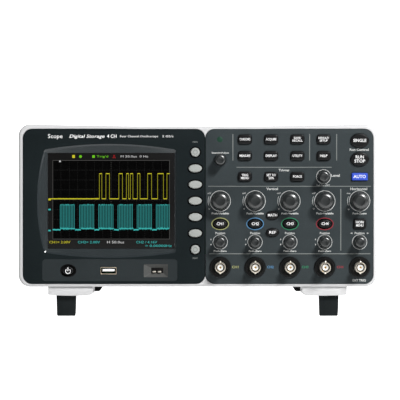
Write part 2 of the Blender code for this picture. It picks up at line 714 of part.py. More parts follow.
# Port board: power switch, USB port and the two probe adjustment terminals
bm = block(power_column - 10 * MM, probe_column + probe_width / 2, strip_row - 9 * MM, strip_row + 9 * MM,
           board_back, board_front)
port_board = finish("port_board", bm, (0.02, 0.16, 0.06), 0.45)
bm = bmesh.new()
box(bm, power_column - switch_size / 2, power_column + switch_size / 2, strip_row - switch_size / 2,
    strip_row + switch_size / 2, board_front - 0.4 * MM, flange_back - key_travel - 0.3 * MM)
box(bm, usb_column - usb_width / 2, usb_column + usb_width / 2, strip_row - usb_height / 2,
    strip_row + usb_height / 2, fascia_front - usb_depth, fascia_front - 0.2 * MM)
box(bm, probe_column - probe_width / 2 + fixed_gap, probe_column + probe_width / 2 - fixed_gap,
    strip_row - probe_height / 2 + fixed_gap, strip_row + probe_height / 2 - fixed_gap,
    board_front - 0.4 * MM, fascia_back - fixed_gap)
combine(port_board, bm, "UNION", "ports")
bm = block(usb_column - usb_width / 2 + usb_wall, usb_column + usb_width / 2 - usb_wall,
           strip_row - usb_height / 2 + usb_wall, strip_row + usb_height / 2 - usb_wall,
           fascia_front - usb_depth + 1.5 * MM, fascia_front + 1 * MM)
combine(port_board, bm, "DIFFERENCE", "usb_bore")
bm = bmesh.new()
box(bm, usb_column - usb_width / 2 + 1.6 * MM, usb_column + usb_width / 2 - 1.6 * MM,
    strip_row + 0.2 * MM, strip_row + 2.0 * MM, fascia_front - usb_depth + 1.0 * MM, fascia_front - 1.0 * MM)
for way in (-1, 1):
    tab = probe_column + probe_tab_shift + way * probe_tab_pitch / 2
    level = strip_row + probe_tab_rise
    box(bm, tab - probe_tab_width / 2, tab + probe_tab_width / 2, level - probe_tab_height / 2,
        level + probe_tab_height / 2, fascia_back - fixed_gap - 1 * MM, fascia_front - 0.4 * MM)
combine(port_board, bm, "UNION", "contacts")

# Chassis: a sheet bent into an upright and a floor, with a hole round each socket body
floor_level = rear_bottom + wall + 2.4 * MM
bm = block(left_edge + wall + inner_margin, right_edge - wall - inner_margin, floor_level,
           case_height - top_dip - wall - inner_margin, chassis_back, chassis_front)
chassis = finish("chassis", bm, (0.55, 0.56, 0.57), 0.35, 0.9)
combine(chassis, block(left_edge + wall + inner_margin, right_edge - wall - inner_margin, floor_level,
                       floor_level + sheet, rear_wall_inner + 16 * MM, chassis_back + 0.4 * MM), "UNION", "floor")
bm = bmesh.new()
for x in columns:
    rod(bm, socket_body + 1 * MM, (x, socket_row, chassis_back - 1 * MM), (x, socket_row, chassis_front + 1 * MM), 14)
combine(chassis, bm, "DIFFERENCE", "socket_holes")

# Main board with a shield can for each input and a finned cooler
bm = block(columns[0] - 14 * MM, columns[4] + 6 * MM, floor_level + sheet + 2 * MM,
           case_height - top_dip - wall - inner_margin - 4 * MM, main_board_front - board_thickness, main_board_front)
main_board = finish("main_board", bm, (0.02, 0.14, 0.06), 0.45)
bm = bmesh.new()
can_back = main_board_front - board_thickness - 7 * MM
for x in columns[:4]:
    box(bm, x - 11 * MM, x + 11 * MM, socket_row, socket_row + 34 * MM, can_back, main_board_front - 0.5 * MM)
cooler_row = socket_row + 62 * MM
box(bm, columns[1], columns[1] + 34 * MM, cooler_row, cooler_row + 34 * MM,
    main_board_front - board_thickness - 3 * MM, main_board_front - 0.5 * MM)
combine(main_board, bm, "UNION", "cans")
bm = bmesh.new()
for i in range(6):
    fin = columns[1] + 1 * MM + i * 6.2 * MM
    box(bm, fin, fin + 1.4 * MM, cooler_row + 0.5 * MM, cooler_row + 33.5 * MM,
        main_board_front - board_thickness - 14 * MM, main_board_front - board_thickness - 2 * MM)
combine(main_board, bm, "UNION", "fins")

# Power supply: a board on the chassis floor with a transformer, a cooler and two capacitors
supply_level = floor_level + sheet + 5 * MM
supply_left = left_edge + 14 * MM
supply_front = chassis_back - 12 * MM
supply_back = rear_wall_inner + 20 * MM
bm = block(supply_left, supply_left + 94 * MM, supply_level, supply_level + board_thickness, supply_back, supply_front)
power_supply = finish("power_supply", bm, (0.35, 0.22, 0.08), 0.5)
bm = bmesh.new()
box(bm, supply_left + 34 * MM, supply_left + 64 * MM, supply_level + 0.5 * MM, supply_level + 26 * MM,
    (supply_back + supply_front) / 2 - 12 * MM, (supply_back + supply_front) / 2 + 14 * MM)
box(bm, supply_left + 4 * MM, supply_left + 8 * MM, supply_level + 0.5 * MM, supply_level + 32 * MM,
    supply_back + 4 * MM, supply_front - 6 * MM)
for i in range(2):
    centre = supply_left + 78 * MM
    depth = supply_front - 14 * MM - i * 22 * MM
    rod(bm, 8 * MM, (centre, supply_level + 0.5 * MM, depth), (centre, supply_level + 28 * MM, depth), 14)
combine(power_supply, bm, "UNION", "parts")

# Cooling fan: a square frame whose motor plate hangs on four arms, and the rotor
fan_back = rear_wall_inner + fixed_gap
fan_front = fan_back + fan_depth
bm = slab([centred(fan_column, fan_row, fan_size, fan_size, 4 * MM), oval(fan_column, fan_row, 2 * fan_bore,
                                                                          2 * fan_bore, 32)], fan_back, fan_front)
fan_frame = finish("fan_frame", bm, (0.02, 0.02, 0.022), 0.5)
bm = bmesh.new()
box(bm, fan_column - fan_bore - 1 * MM, fan_column + fan_bore + 1 * MM, fan_row - 1.5 * MM, fan_row + 1.5 * MM,
    fan_front - 2.4 * MM, fan_front - 0.2 * MM)
combine(fan_frame, bm, "UNION", "arm_across")
bm = bmesh.new()
box(bm, fan_column - 1.5 * MM, fan_column + 1.5 * MM, fan_row - fan_bore - 1 * MM, fan_row + fan_bore + 1 * MM,
    fan_front - 2.4 * MM, fan_front - 0.2 * MM)
combine(fan_frame, bm, "UNION", "arm_upright")
bm = bmesh.new()
rod(bm, fan_hub, (fan_column, fan_row, fan_front - 2.6 * MM), (fan_column, fan_row, fan_front - 0.1 * MM), 20)
combine(fan_frame, bm, "UNION", "motor_plate")

bm = bmesh.new()
hub_back = fan_back + 1.2 * MM
hub_front = fan_front - 3.2 * MM
rod(bm, fan_hub, (0, 0, hub_back - (hub_back + hub_front) / 2), (0, 0, hub_front - (hub_back + hub_front) / 2), 20)
fan_rotor = finish("fan_rotor", bm, (0.02, 0.02, 0.022), 0.45, 0.0, (fan_column, fan_row, (hub_back + hub_front) / 2))
bm = bmesh.new()
blade_reach = fan_bore - 1.6 * MM
for i in range(fan_blades):
    blade = bmesh.ops.create_cube(bm, size=1)["verts"]
    stretch = Matrix.Diagonal((blade_reach - fan_hub + 2 * MM, 10.0 * MM, 1.2 * MM, 1))
    pitch = Matrix.Rotation(math.radians(38), 4, "X")
    out = Matrix.Translation(((blade_reach + fan_hub - 2 * MM) / 2, 0, 0))
    turn = Matrix.Rotation(math.tau * i / fan_blades, 4, "Z")
    bmesh.ops.transform(bm, matrix=turn @ out @ pitch @ stretch, verts=blade)
mesh = bpy.data.meshes.new("blades")
bmesh.ops.recalc_face_normals(bm, faces=bm.faces)
bm.to_mesh(mesh)
bm.free()
blades = bpy.data.objects.new("fan_blades", mesh)
blades.parent = case_frame
blades.location = fan_rotor.location
blades.hide_render = True
blades.display_type = "WIRE"
cutters.objects.link(blades)
joined = fan_rotor.modifiers.new("blades", "BOOLEAN")
joined.operation = "UNION"
joined.object = blades

# Mains inlet: a flanged box through the rear wall, open behind, with three pins
flange_face = -case_depth - 0.3 * MM
bm = block(inlet_column - inlet_width / 2, inlet_column + inlet_width / 2, inlet_row - inlet_height / 2,
           inlet_row + inlet_height / 2, -case_depth - inlet_flange, -case_depth - inlet_flange + inlet_depth)
mains_inlet = finish("mains_inlet", bm, (0.015, 0.015, 0.016), 0.45)
bm = block(inlet_column - inlet_width / 2 - 4 * MM, inlet_column + inlet_width / 2 + 4 * MM,
           inlet_row - inlet_height / 2 - 2.4 * MM, inlet_row + inlet_height / 2 + 2.4 * MM,
           -case_depth - inlet_flange, flange_face)
combine(mains_inlet, bm, "UNION", "flange")
bm = block(inlet_column - inlet_width / 2 + inlet_wall, inlet_column + inlet_width / 2 - inlet_wall,
           inlet_row - inlet_height / 2 + inlet_wall, inlet_row + inlet_height / 2 - inlet_wall,
           -case_depth - inlet_flange - 1 * MM, -case_depth - inlet_flange + inlet_depth - inlet_wall)
combine(mains_inlet, bm, "DIFFERENCE", "cavity")
bm = bmesh.new()
for x, y in ((-7, -1.5), (0, 2.5), (7, -1.5)):
    pin = inlet_column + x * MM
    row = inlet_row + y * MM
    box(bm, pin - 1 * MM, pin + 1 * MM, row - 2 * MM, row + 2 * MM, -case_depth - inlet_flange + 6 * MM,
        -case_depth - inlet_flange + inlet_depth - 1 * MM)
combine(mains_inlet, bm, "UNION", "pins")

# Legs: each swings on a pivot inside its housing, and its sole lies flat on the table when it is down.
floor_point = Vector((0, -leg_drop, leg_axis_depth))
floor_normal = Vector((0, -math.cos(lean), -math.sin(lean)))
for label, centre in zip(("leg_left", "leg_right"), leg_centres):
    half = leg_width / 2
    foot_half = half - leg_taper
    low = -leg_drop - 1.2 * MM
    high = -pivot_drop + leg_thickness / 2
    bm = slab([outline(-half, half, low + pivot_drop, high + pivot_drop, leg_corner, 3)],
              -leg_thickness / 2, leg_thickness / 2)
    for vert in bm.verts:
        if vert.co.y < 0:
            vert.co.x *= foot_half / half
    bmesh.ops.dissolve_limit(bm, angle_limit=0.01, verts=bm.verts, edges=bm.edges)
    for turn in (22.5, 45, 67.5, 112.5, 135, 157.5):
        outward = Vector((0, math.sin(math.radians(turn)), math.cos(math.radians(turn))))
        trim(bm, outward * (leg_thickness / 2 + 0.05 * MM), outward)
    trim(bm, floor_point - Vector((0, -pivot_drop, leg_axis_depth)), floor_normal)
    leg = finish(label, bm, (0.012, 0.012, 0.013), 0.55, 0.0, (centre, -pivot_drop, leg_axis_depth))
    bm = bmesh.new()
    reach = half + leg_fit + pivot_reach - 0.4 * MM
    rod(bm, pivot_radius, (centre - reach, -pivot_drop, leg_axis_depth), (centre + reach, -pivot_drop, leg_axis_depth))
    combine(leg, bm, "UNION", "pivot")

# Rear feet, chamfered where they meet the table while the case leans back
for label, way, centre in (("rear_foot_left", 1, housing_centres[0]), ("rear_foot_right", -1, housing_centres[1])):
    half = housing_width / 2
    inner = way * (half + foot_reach)
    bm = block(min(-way * half, inner), max(-way * half, inner), -foot_drop, rear_bottom - fixed_gap,
               foot_back, foot_back + foot_length)
    trim(bm, floor_point, floor_normal)
    slant = Vector((way * foot_drop, -foot_slant, 0)).normalized()
    trim(bm, Vector((inner, rear_bottom - fixed_gap, 0)), slant)
    upright = [e for e in bm.edges if abs(e.verts[0].co.z - e.verts[1].co.z) > 10 * MM
               and all(v.co.y < -5 * MM for v in e.verts)]
    bmesh.ops.bevel(bm, geom=upright, offset=1 * MM, offset_type="OFFSET", segments=2, profile=0.5, affect="EDGES",
                    material=-1, clamp_overlap=True)
    finish(label, bm, (0.014, 0.014, 0.015), 0.7, 0.0, (centre, 0, 0))

# The case stands on the table at Z = 0, centred over the origin.
bpy.context.view_layer.update()
graph = bpy.context.evaluated_depsgraph_get()
low = Vector((1, 1, 1))
high = Vector((-1, -1, -1))
for piece in parts.objects:
    if piece.type == "MESH":
        shape = piece.evaluated_get(graph)
        for vert in shape.data.vertices:
            point = shape.matrix_world @ vert.co
            low = Vector(map(min, low, point))
            high = Vector(map(max, high, point))
case_frame.location = (-(low.x + high.x) / 2, -(low.y + high.y) / 2, -low.z)
bpy.context.view_layer.update()
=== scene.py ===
"""Four-channel bench oscilloscope: the finished surfaces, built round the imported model.

Pieces are laid out on the front panel in millimetres: X to the right, Y up the panel, Z out of it, with the
origin at the middle of the case's lower front edge. The functions that make a mesh turn them into metres. The
panel leans back, and every piece's mesh carries that lean.
"""
import json
import math
import random

import bmesh
import bpy
from mathutils import Matrix, Vector


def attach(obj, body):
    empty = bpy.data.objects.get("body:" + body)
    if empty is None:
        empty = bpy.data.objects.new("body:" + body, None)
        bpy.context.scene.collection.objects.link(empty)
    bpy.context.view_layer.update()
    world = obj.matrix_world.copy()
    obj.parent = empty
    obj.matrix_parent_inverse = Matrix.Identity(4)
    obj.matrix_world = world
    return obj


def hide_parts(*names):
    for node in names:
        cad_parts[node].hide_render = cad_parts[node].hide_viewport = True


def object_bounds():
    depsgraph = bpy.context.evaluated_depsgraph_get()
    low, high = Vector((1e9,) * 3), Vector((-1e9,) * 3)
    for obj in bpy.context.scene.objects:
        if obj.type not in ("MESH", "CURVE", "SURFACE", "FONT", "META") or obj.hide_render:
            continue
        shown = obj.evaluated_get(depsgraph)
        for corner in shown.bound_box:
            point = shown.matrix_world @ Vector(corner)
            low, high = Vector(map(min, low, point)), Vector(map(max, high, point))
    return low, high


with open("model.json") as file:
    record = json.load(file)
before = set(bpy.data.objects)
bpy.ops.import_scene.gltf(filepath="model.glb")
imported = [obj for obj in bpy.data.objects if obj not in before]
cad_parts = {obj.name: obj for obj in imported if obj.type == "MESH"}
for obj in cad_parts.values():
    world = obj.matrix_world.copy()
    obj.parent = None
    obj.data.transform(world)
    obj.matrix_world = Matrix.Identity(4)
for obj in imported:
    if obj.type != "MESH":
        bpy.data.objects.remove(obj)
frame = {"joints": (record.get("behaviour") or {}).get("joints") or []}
cad_low, cad_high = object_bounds()
joints = {joint["name"]: joint for joint in frame["joints"]}
random.seed(4)

MM = 0.001

# Sizes shared with the CAD model
fascia_front = 0.6
fascia_back = -2.4
rim_bottom = 2.7
fascia_top = 143.7
case_height = 148.0
left_edge = -163.0
right_edge = 163.0
screen_left = -158.8
screen_right = 6.8
control_left = 7.3
control_right = 160.1
fascia_corner = 8.5
case_corner = 10.5
top_dip = 2.0
front_depth = 26.0
case_depth = 118.0
wall = 2.6
rear_step = 1.2
display_left = -136.2
display_right = -21.0
display_bottom = 34.8
display_top = 121.7
columns = [20.7 + 31.7 * i for i in range(5)]
menu_columns = [43.1 + 23.867 * i for i in range(4)]
socket_row = 17.9
position_row = 40.8
channel_row = 57.3
scale_row = 78.1
trigger_row = 100.2
menu_row = 119.1
top_row = 134.1
strip_row = 14.7
soft_column = -2.0
soft_rows = [78.25 + 14.75 * (3 - i) for i in range(7)]
power_column = -117.7
usb_column = -81.0
probe_column = -37.9
key_face = fascia_front + 1.9
window_front = fascia_front - 1.4
flange_front = fascia_back - 0.3
flange_back = flange_front - 2.2

# The panel's place in the world, in metres, from the axis of the time base knob
turn = joints["timebase_knob_turn"]
out_way = Vector(turn["axis"])
up_way = out_way.cross(Vector((1, 0, 0)))
anchor = Vector(turn["pos_m"])
knob_row = anchor - Vector((columns[4] * MM, 0, 0))
corner_point = knob_row - up_way * (scale_row * MM) - out_way * (fascia_front * MM)
panel = Matrix.Translation(corner_point) @ Matrix((
    (1, up_way.x, out_way.x, 0), (0, up_way.y, out_way.y, 0), (0, up_way.z, out_way.z, 0), (0, 0, 0, 1)))

# ---------------------------------------------------------------- materials

def group(name, inputs, outputs):
    """An empty node group with named sockets. Each starts with a colour, and the other sockets are numbers."""
    tree = bpy.data.node_groups.new(name, "ShaderNodeTree")
    for way, labels in (("INPUT", inputs), ("OUTPUT", outputs)):
        for label in labels:
            kind = "NodeSocketColor" if label == "Colour" else "NodeSocketFloat"
            tree.interface.new_socket(label, in_out=way, socket_type=kind)
    return tree, tree.nodes.new("NodeGroupInput"), tree.nodes.new("NodeGroupOutput")


def math_node(tree, operation, a, b):
    node = tree.nodes.new("ShaderNodeMath")
    node.operation = operation
    for socket, value in zip(node.inputs, (a, b)):
        if isinstance(value, (int, float)):
            socket.default_value = value
        else:
            tree.links.new(value, socket)
    return node.outputs[0]


def noise_node(tree, vector, detail, scale=None):
    node = tree.nodes.new("ShaderNodeTexNoise")
    node.inputs["Detail"].default_value = detail
    if scale:
        node.inputs["Scale"].default_value = scale
    tree.links.new(vector, node.inputs["Vector"])
    return node


def swing(tree, noise, reach):
    """A noise's swing about its middle, times the reach."""
    return math_node(tree, "MULTIPLY", math_node(tree, "SUBTRACT", noise.outputs["Fac"], 0.5), reach)


def toned(tree, inside, outside, level):
    """Puts out the group's colour at a changed level."""
    scale = tree.nodes.new("ShaderNodeVectorMath")
    scale.operation = "SCALE"
    tree.links.new(inside.outputs["Colour"], scale.inputs[0])
    tree.links.new(level, scale.inputs["Scale"])
    tree.links.new(scale.outputs[0], outside.inputs["Colour"])


def mould_group():
    """The skin of moulded plastic: a fine spark texture, slow changes of tone and rubbed patches."""
    tree, inside, outside = group("moulded_skin", ("Colour", "Spark size", "Tone", "Roughness", "Rubbed"),
                                  ("Colour", "Roughness", "Height"))
    place = tree.nodes.new("ShaderNodeTexCoord").outputs["Object"]
    fine = noise_node(tree, place, 2)
    slow = noise_node(tree, place, 4, 34)
    tree.links.new(inside.outputs["Spark size"], fine.inputs["Scale"])
    shift = swing(tree, slow, inside.outputs["Tone"])
    spark = swing(tree, fine, inside.outputs["Tone"])
    toned(tree, inside, outside, math_node(tree, "ADD", math_node(tree, "ADD", shift, spark), 1.0))
    rubbed = swing(tree, slow, inside.outputs["Rubbed"])
    tree.links.new(math_node(tree, "ADD", inside.outputs["Roughness"], rubbed), outside.inputs["Roughness"])
    tree.links.new(fine.outputs["Fac"], outside.inputs["Height"])
    return tree


def cell_group():
    """The cells of a lit display: a fine grid of dark gaps between the dots."""
    tree, inside, outside = group("display_cells", ("Colour", "Pitch", "Gap"), ("Colour",))
    place = tree.nodes.new("ShaderNodeTexCoord")
    split = tree.nodes.new("ShaderNodeSeparateXYZ")
    tree.links.new(place.outputs["Object"], split.inputs[0])
    gap_width = 0.22
    level = 1.0
    for axis in ("X", "Z"):
        across = math_node(tree, "DIVIDE", split.outputs[axis], inside.outputs["Pitch"])
        gap = math_node(tree, "LESS_THAN", math_node(tree, "FRACT", across, 0), gap_width)
        kept = math_node(tree, "SUBTRACT", 1.0, math_node(tree, "MULTIPLY", gap, inside.outputs["Gap"]))
        level = math_node(tree, "MULTIPLY", level, kept)
    toned(tree, inside, outside, level)
    return tree


def brushed_group():
    """Plated or drawn metal: long fine streaks in the roughness and a faint change of colour."""
    tree, inside, outside = group("drawn_metal", ("Colour", "Roughness", "Streak"),
                                  ("Colour", "Roughness", "Height"))
    place = tree.nodes.new("ShaderNodeTexCoord")
    stretch = tree.nodes.new("ShaderNodeMapping")
    stretch.inputs["Scale"].default_value = (40, 900, 900)
    tree.links.new(place.outputs["Object"], stretch.inputs[0])
    noise = noise_node(tree, stretch.outputs[0], 3, 3)
    streak = swing(tree, noise, inside.outputs["Streak"])
    tree.links.new(math_node(tree, "ADD", inside.outputs["Roughness"], streak), outside.inputs["Roughness"])
    toned(tree, inside, outside, math_node(tree, "ADD", 1.0, streak))
    tree.links.new(noise.outputs["Fac"], outside.inputs["Height"])
    return tree


moulded = mould_group()
cells = cell_group()
drawn = brushed_group()


def shaded(name, tree, values, bump=0.0, **fixed):
    """A material whose shader is fed by one of the groups, with constants set on its own sockets."""
    material = bpy.data.materials.new(name)
    material.use_nodes = True
    nodes = material.node_tree.nodes
    links = material.node_tree.links
    shader = nodes["Principled BSDF"]
    texture = nodes.new("ShaderNodeGroup")
    texture.node_tree = tree
    for label, value in values.items():
        texture.inputs[label].default_value = value
    links.new(texture.outputs["Colour"], shader.inputs["Base Color"])
    if "Roughness" in texture.outputs:
        links.new(texture.outputs["Roughness"], shader.inputs["Roughness"])
    if bump:
        relief = nodes.new("ShaderNodeBump")
        relief.inputs["Distance"].default_value = bump
        relief.inputs["Strength"].default_value = 0.5
        links.new(texture.outputs["Height"], relief.inputs["Height"])
        links.new(relief.outputs["Normal"], shader.inputs["Normal"])
    for label, value in fixed.items():
        shader.inputs[label.replace("_", " ")].default_value = value
    return material


def plastic(name, colour, roughness, tone, spark, rubbed, specular=0.5, bump=0.00003):
    values = {"Colour": (*colour, 1), "Spark size": spark, "Tone": tone, "Roughness": roughness,
              "Rubbed": rubbed}
    return shaded(name, moulded, values, bump, Specular_IOR_Level=specular)


def ink(name, colour, tone=0.15):
    return plastic(name, colour, 0.6, tone, 2200, 0.1, 0.2)


def metal(name, colour, roughness, streak=0.05, bump=0.0):
    values = {"Colour": (*colour, 1), "Roughness": roughness, "Streak": streak}
    return shaded(name, drawn, values, bump, Metallic=1.0)


def lit(name, colour):
    """A lit part of the display picture."""
    values = {"Colour": (*colour, 1), "Pitch": 0.36 * MM, "Gap": 0.25}
    material = shaded(name, cells, values, Roughness=0.3, Specular_IOR_Level=0.12)
    shader = material.node_tree.nodes["Principled BSDF"]
    link = shader.inputs["Base Color"].links[0]
    source = link.from_socket
    material.node_tree.links.remove(link)
    shader.inputs["Base Color"].default_value = (0.004, 0.004, 0.004, 1)
    shader.inputs["Emission Strength"].default_value = 1.0
    material.node_tree.links.new(source, shader.inputs["Emission Color"])
    return material


# For each plastic its colour, roughness, change of tone, spark size, rubbing, specular level and spark depth
recipes = (
    (plastic, {
        "case_white": ((0.56, 0.56, 0.565), 0.45, 0.03, 1800, 0.08),
        "case_grey": ((0.60, 0.61, 0.62), 0.5, 0.05, 1400, 0.1, 0.5, 0.00005),
        "screen_dark": ((0.0080, 0.0120, 0.0132), 0.6, 0.35, 1500, 0.12, 0.06),
        "control_dark": ((0.030, 0.038, 0.041), 0.55, 0.3, 1500, 0.12, 0.15),
        "bezel_lip": ((0.022, 0.028, 0.031), 0.17, 0.2, 1500, 0.02, 0.6, 0),
        "bezel_grey": ((0.0225, 0.0285, 0.031), 0.32, 0.25, 1500, 0.08, 0.5),
        "strip_dark": ((0.0155, 0.0210, 0.0230), 0.5, 0.3, 1500, 0.12, 0.25),
        "key_black": ((0.005, 0.005, 0.0055), 0.36, 0.2, 1200, 0.1, 0.3),
        # near-black: painted shade for the key dishes and the port hollows, and black print round the channel
        # keys
        "pit_shade_and_black_print": ((0.002, 0.002, 0.002), 0.6, 0.2, 1200, 0.1, 0.15),
        "key_grey": ((0.32, 0.335, 0.32), 0.6, 0.10, 900, 0.1, 0.3),
        "key_blue": ((0.030, 0.075, 0.50), 0.4, 0.12, 1200, 0.1, 0.4),
        "knob_black": ((0.009, 0.0115, 0.012), 0.34, 0.3, 1100, 0.10, 1.0),
        "collar_black": ((0.0015, 0.0018, 0.0018), 0.45, 0.2, 1200, 0.1, 0.25),
        "leg_black": ((0.0045, 0.007, 0.0078), 0.5, 0.2, 1200, 0.1, 0.2),
        "foot_black": ((0.004, 0.004, 0.004), 0.75, 0.2, 800, 0.1, 0.2, 0.00006),
        "lamp_green": ((0.010, 0.040, 0.024), 0.45, 0.2, 1200, 0.05, 0.2),
        "scoop_grey": ((0.060, 0.062, 0.060), 0.5, 0.5, 900, 0.1, 0.3),
        "insulator": ((0.78, 0.78, 0.76), 0.35, 0.04, 1200, 0.1),
        "board_green": ((0.02, 0.13, 0.05), 0.4, 0.4, 500, 0.2),
        "board_brown": ((0.30, 0.19, 0.08), 0.5, 0.3, 500, 0.2),
        "display_black": ((0.0012, 0.0012, 0.0012), 0.22, 0.1, 800, 0.05, 0.15)}),
    (ink, {
        "print_white": ((0.50, 0.51, 0.50), 0.12),
        "print_grey": ((0.17, 0.185, 0.18),),
        "print_yellow": ((0.30, 0.31, 0.13),),
        "print_blue": ((0.075, 0.20, 0.36),),
        "print_green": ((0.022, 0.18, 0.085),),
        "print_red": ((0.24, 0.024, 0.035),),
        "legend_white": ((0.86, 0.86, 0.86), 0.06)}),
    (lit, {
        "display_grey": ((0.0048, 0.0045, 0.0045),),
        "grid_grey": ((0.030, 0.030, 0.030),),
        "grid_pale": ((0.085, 0.085, 0.080),),
        "lit_yellow": ((0.66, 0.60, 0.020),),
        "lit_olive": ((0.36, 0.34, 0.010),),
        "lit_teal_dim": ((0.004, 0.033, 0.033),),
        "lit_teal": ((0.020, 0.26, 0.25),),
        "lit_cyan": ((0.045, 0.50, 0.47),),
        "lit_white": ((0.70, 0.70, 0.70),),
        "lit_green": ((0.16, 0.62, 0.010),),
        "lit_red": ((0.42, 0.007, 0.010),)}),
    (metal, {
        "nickel": ((0.90, 0.84, 0.74), 0.42),
        "gold": ((0.80, 0.50, 0.13), 0.35),
        # painted shade: a dark colour for the deep end of the socket bores, whose metal is really nickel
        "bore_painted_shade": ((0.035, 0.028, 0.022), 0.5),
        "port_metal": ((0.72, 0.62, 0.48), 0.4),
        "steel": ((0.62, 0.60, 0.56), 0.32, 0.2, 0.000004),
        "zinc": ((0.55, 0.56, 0.58), 0.4, 0.2, 0.000004)}))
finishes = {name: make(name, *values) for make, recipe in recipes for name, values in recipe.items()}

# ---------------------------------------------------------------- shapes


def outline(left, right, bottom, top, corner, steps=8, bows=(0, 0, 0, 0), bow_steps=16, split=False):
    """A rounded rectangle, anticlockwise from its lower right. The bows swell its right, top, left and bottom.

    Split gives a straight side the same middle points as a bowed one, so that two outlines can be bridged.
    """
    centres = ((right - corner, bottom + corner), (right - corner, top - corner),
               (left + corner, top - corner), (left + corner, bottom + corner))
    arcs = []
    for index, (x, y) in enumerate(centres):
        turns = [math.radians(90 * (index - 1) + 90 * k / steps) for k in range(steps + 1)]
        arcs.append([(x + corner * math.cos(a), y + corner * math.sin(a)) for a in turns])
    points = []
    for index, arc in enumerate(arcs):
        points += arc
        if bows[index] or split:
            start, end = arc[-1], arcs[(index + 1) % 4][0]
            facing = math.radians(90 * index)
            for k in range(1, bow_steps):
                s = k / bow_steps
                swell = bows[index] * 4 * s * (1 - s)
                points.append((start[0] + (end[0] - start[0]) * s + swell * math.cos(facing),
                               start[1] + (end[1] - start[1]) * s + swell * math.sin(facing)))
    return points


def rounded_path(corners, steps=6):
    """A convex outline, anticlockwise, from corners given with their radius."""
    points = []
    for index, (x, y, radius) in enumerate(corners):
        here = Vector((x, y))
        back = (Vector(corners[index - 1][:2]) - here).normalized()
        on = (Vector(corners[(index + 1) % len(corners)][:2]) - here).normalized()
        reach = radius / math.tan(back.angle(on) / 2)
        centre = here + (back + on).normalized() * radius / math.sin(back.angle(on) / 2)
        start = here + back * reach - centre
        sweep = math.pi - back.angle(on)
        for k in range(steps + 1):
            a = sweep * k / steps
            points.append((centre.x + start.x * math.cos(a) - start.y * math.sin(a),
                           centre.y + start.x * math.sin(a) + start.y * math.cos(a)))
    return points


def centred(x, y, width, height, corner, steps=5):
    return outline(x - width / 2, x + width / 2, y - height / 2, y + height / 2, corner, steps)


def oval(x, y, width, height, steps=48):
    turns = [math.tau * k / steps for k in range(steps)]
    return [(x + width / 2 * math.cos(a), y + height / 2 * math.sin(a)) for a in turns]


def at(x, y, z):
    """A shift in millimetres."""
    return Matrix.Translation((x * MM, y * MM, z * MM))


def weld(bm, reach):
    bmesh.ops.remove_doubles(bm, verts=bm.verts, dist=reach * MM)
    return bm


def from_curve(curve, reach):
    """The mesh of a curve or text, welded."""
    holder = bpy.data.objects.new("outline", curve)
    bpy.context.scene.collection.objects.link(holder)
    graph = bpy.context.evaluated_depsgraph_get()
    mesh = bpy.data.meshes.new_from_object(holder.evaluated_get(graph))
    bpy.data.objects.remove(holder)
    bm = bmesh.new()
    bm.from_mesh(mesh)
    bpy.data.meshes.remove(mesh)
    return weld(bm, reach)


def flat(outlines, low, high, rounding=0.0):
    """A plate between two depths, with rounded rims. The first outline is its edge, the others are holes."""
    curve = bpy.data.curves.new("flat", "CURVE")
    curve.dimensions = "2D"
    curve.fill_mode = "BOTH"
    curve.extrude = ((high - low) / 2 - rounding) * MM
    curve.bevel_depth = rounding * MM
    curve.bevel_resolution = 2
    curve.offset = -rounding * MM
    for points in outlines:
        spline = curve.splines.new("POLY")
        spline.points.add(len(points) - 1)
        spline.use_cyclic_u = True
        for point, (x, y) in zip(spline.points, points):
            point.co = (x * MM, y * MM, 0, 1)
    bm = from_curve(curve, 0.002)
    bm.transform(at(0, 0, (low + high) / 2))
    return bm


def add(bm, other, matrix=None):
    """Puts one mesh into another, moved by the matrix."""
    mesh = bpy.data.meshes.new("part")
    if matrix is not None:
        other.transform(matrix)
    other.to_mesh(mesh)
    other.free()
    bm.from_mesh(mesh)
    bpy.data.meshes.remove(mesh)
    return bm


def joined(parts):
    """One mesh from several."""
    bm = bmesh.new()
    for part in parts:
        add(bm, part)
    return bm


def block(left, right, bottom, top, low, high, rounding=0.0):
    """A plain block, with its edges rounded if asked."""
    bm = bmesh.new()
    size = ((right - left) * MM, (top - bottom) * MM, (high - low) * MM)
    middle = at((left + right) / 2, (bottom + top) / 2, (low + high) / 2)
    bmesh.ops.create_cube(bm, size=1, matrix=middle @ Matrix.Diagonal((*size, 1)))
    if rounding:
        bmesh.ops.bevel(bm, geom=bm.edges[:], offset=rounding * MM, offset_type="OFFSET", segments=3,
                        profile=0.5, affect="EDGES", material=-1, clamp_overlap=True)
    return bm


def slab(x, y, width, height, low, high, rounding=0.0):
    """A block given by its middle, width and height."""
    return block(x - width / 2, x + width / 2, y - height / 2, y + height / 2, low, high, rounding)


def spun(profile, steps=64, x=0.0, y=0.0, level=0.0):
    """A turned shape from (radius, depth) points, from the top of its face round to its back."""
    bm = bmesh.new()
    points = [bm.verts.new((r * MM, 0, (level + z) * MM)) for r, z in profile]
    rims = [bm.edges.new(pair) for pair in zip(points, points[1:])]
    bmesh.ops.spin(bm, geom=points + rims, cent=(0, 0, 0), axis=(0, 0, 1), dvec=(0, 0, 0), angle=math.tau,
                   steps=steps, use_merge=True, use_duplicate=False)
    weld(bm, 0.002)
    bmesh.ops.recalc_face_normals(bm, faces=bm.faces)
    bm.transform(at(x, y, 0))
    return bm


def carve(bm, cutter):
    """The mesh after a Boolean takes another away from it."""
    holders = []
    for source in (bm, cutter):
        bmesh.ops.recalc_face_normals(source, faces=source.faces)
        mesh = bpy.data.meshes.new("carve")
        source.to_mesh(mesh)
        source.free()
        holder = bpy.data.objects.new("carve", mesh)
        bpy.context.scene.collection.objects.link(holder)
        holders.append(holder)
    modifier = holders[0].modifiers.new("carve", "BOOLEAN")
    modifier.operation = "DIFFERENCE"
    modifier.object = holders[1]
    graph = bpy.context.evaluated_depsgraph_get()
    mesh = bpy.data.meshes.new_from_object(holders[0].evaluated_get(graph))
    result = bmesh.new()
    result.from_mesh(mesh)
    for holder in holders:
        bpy.data.objects.remove(holder)
    return result


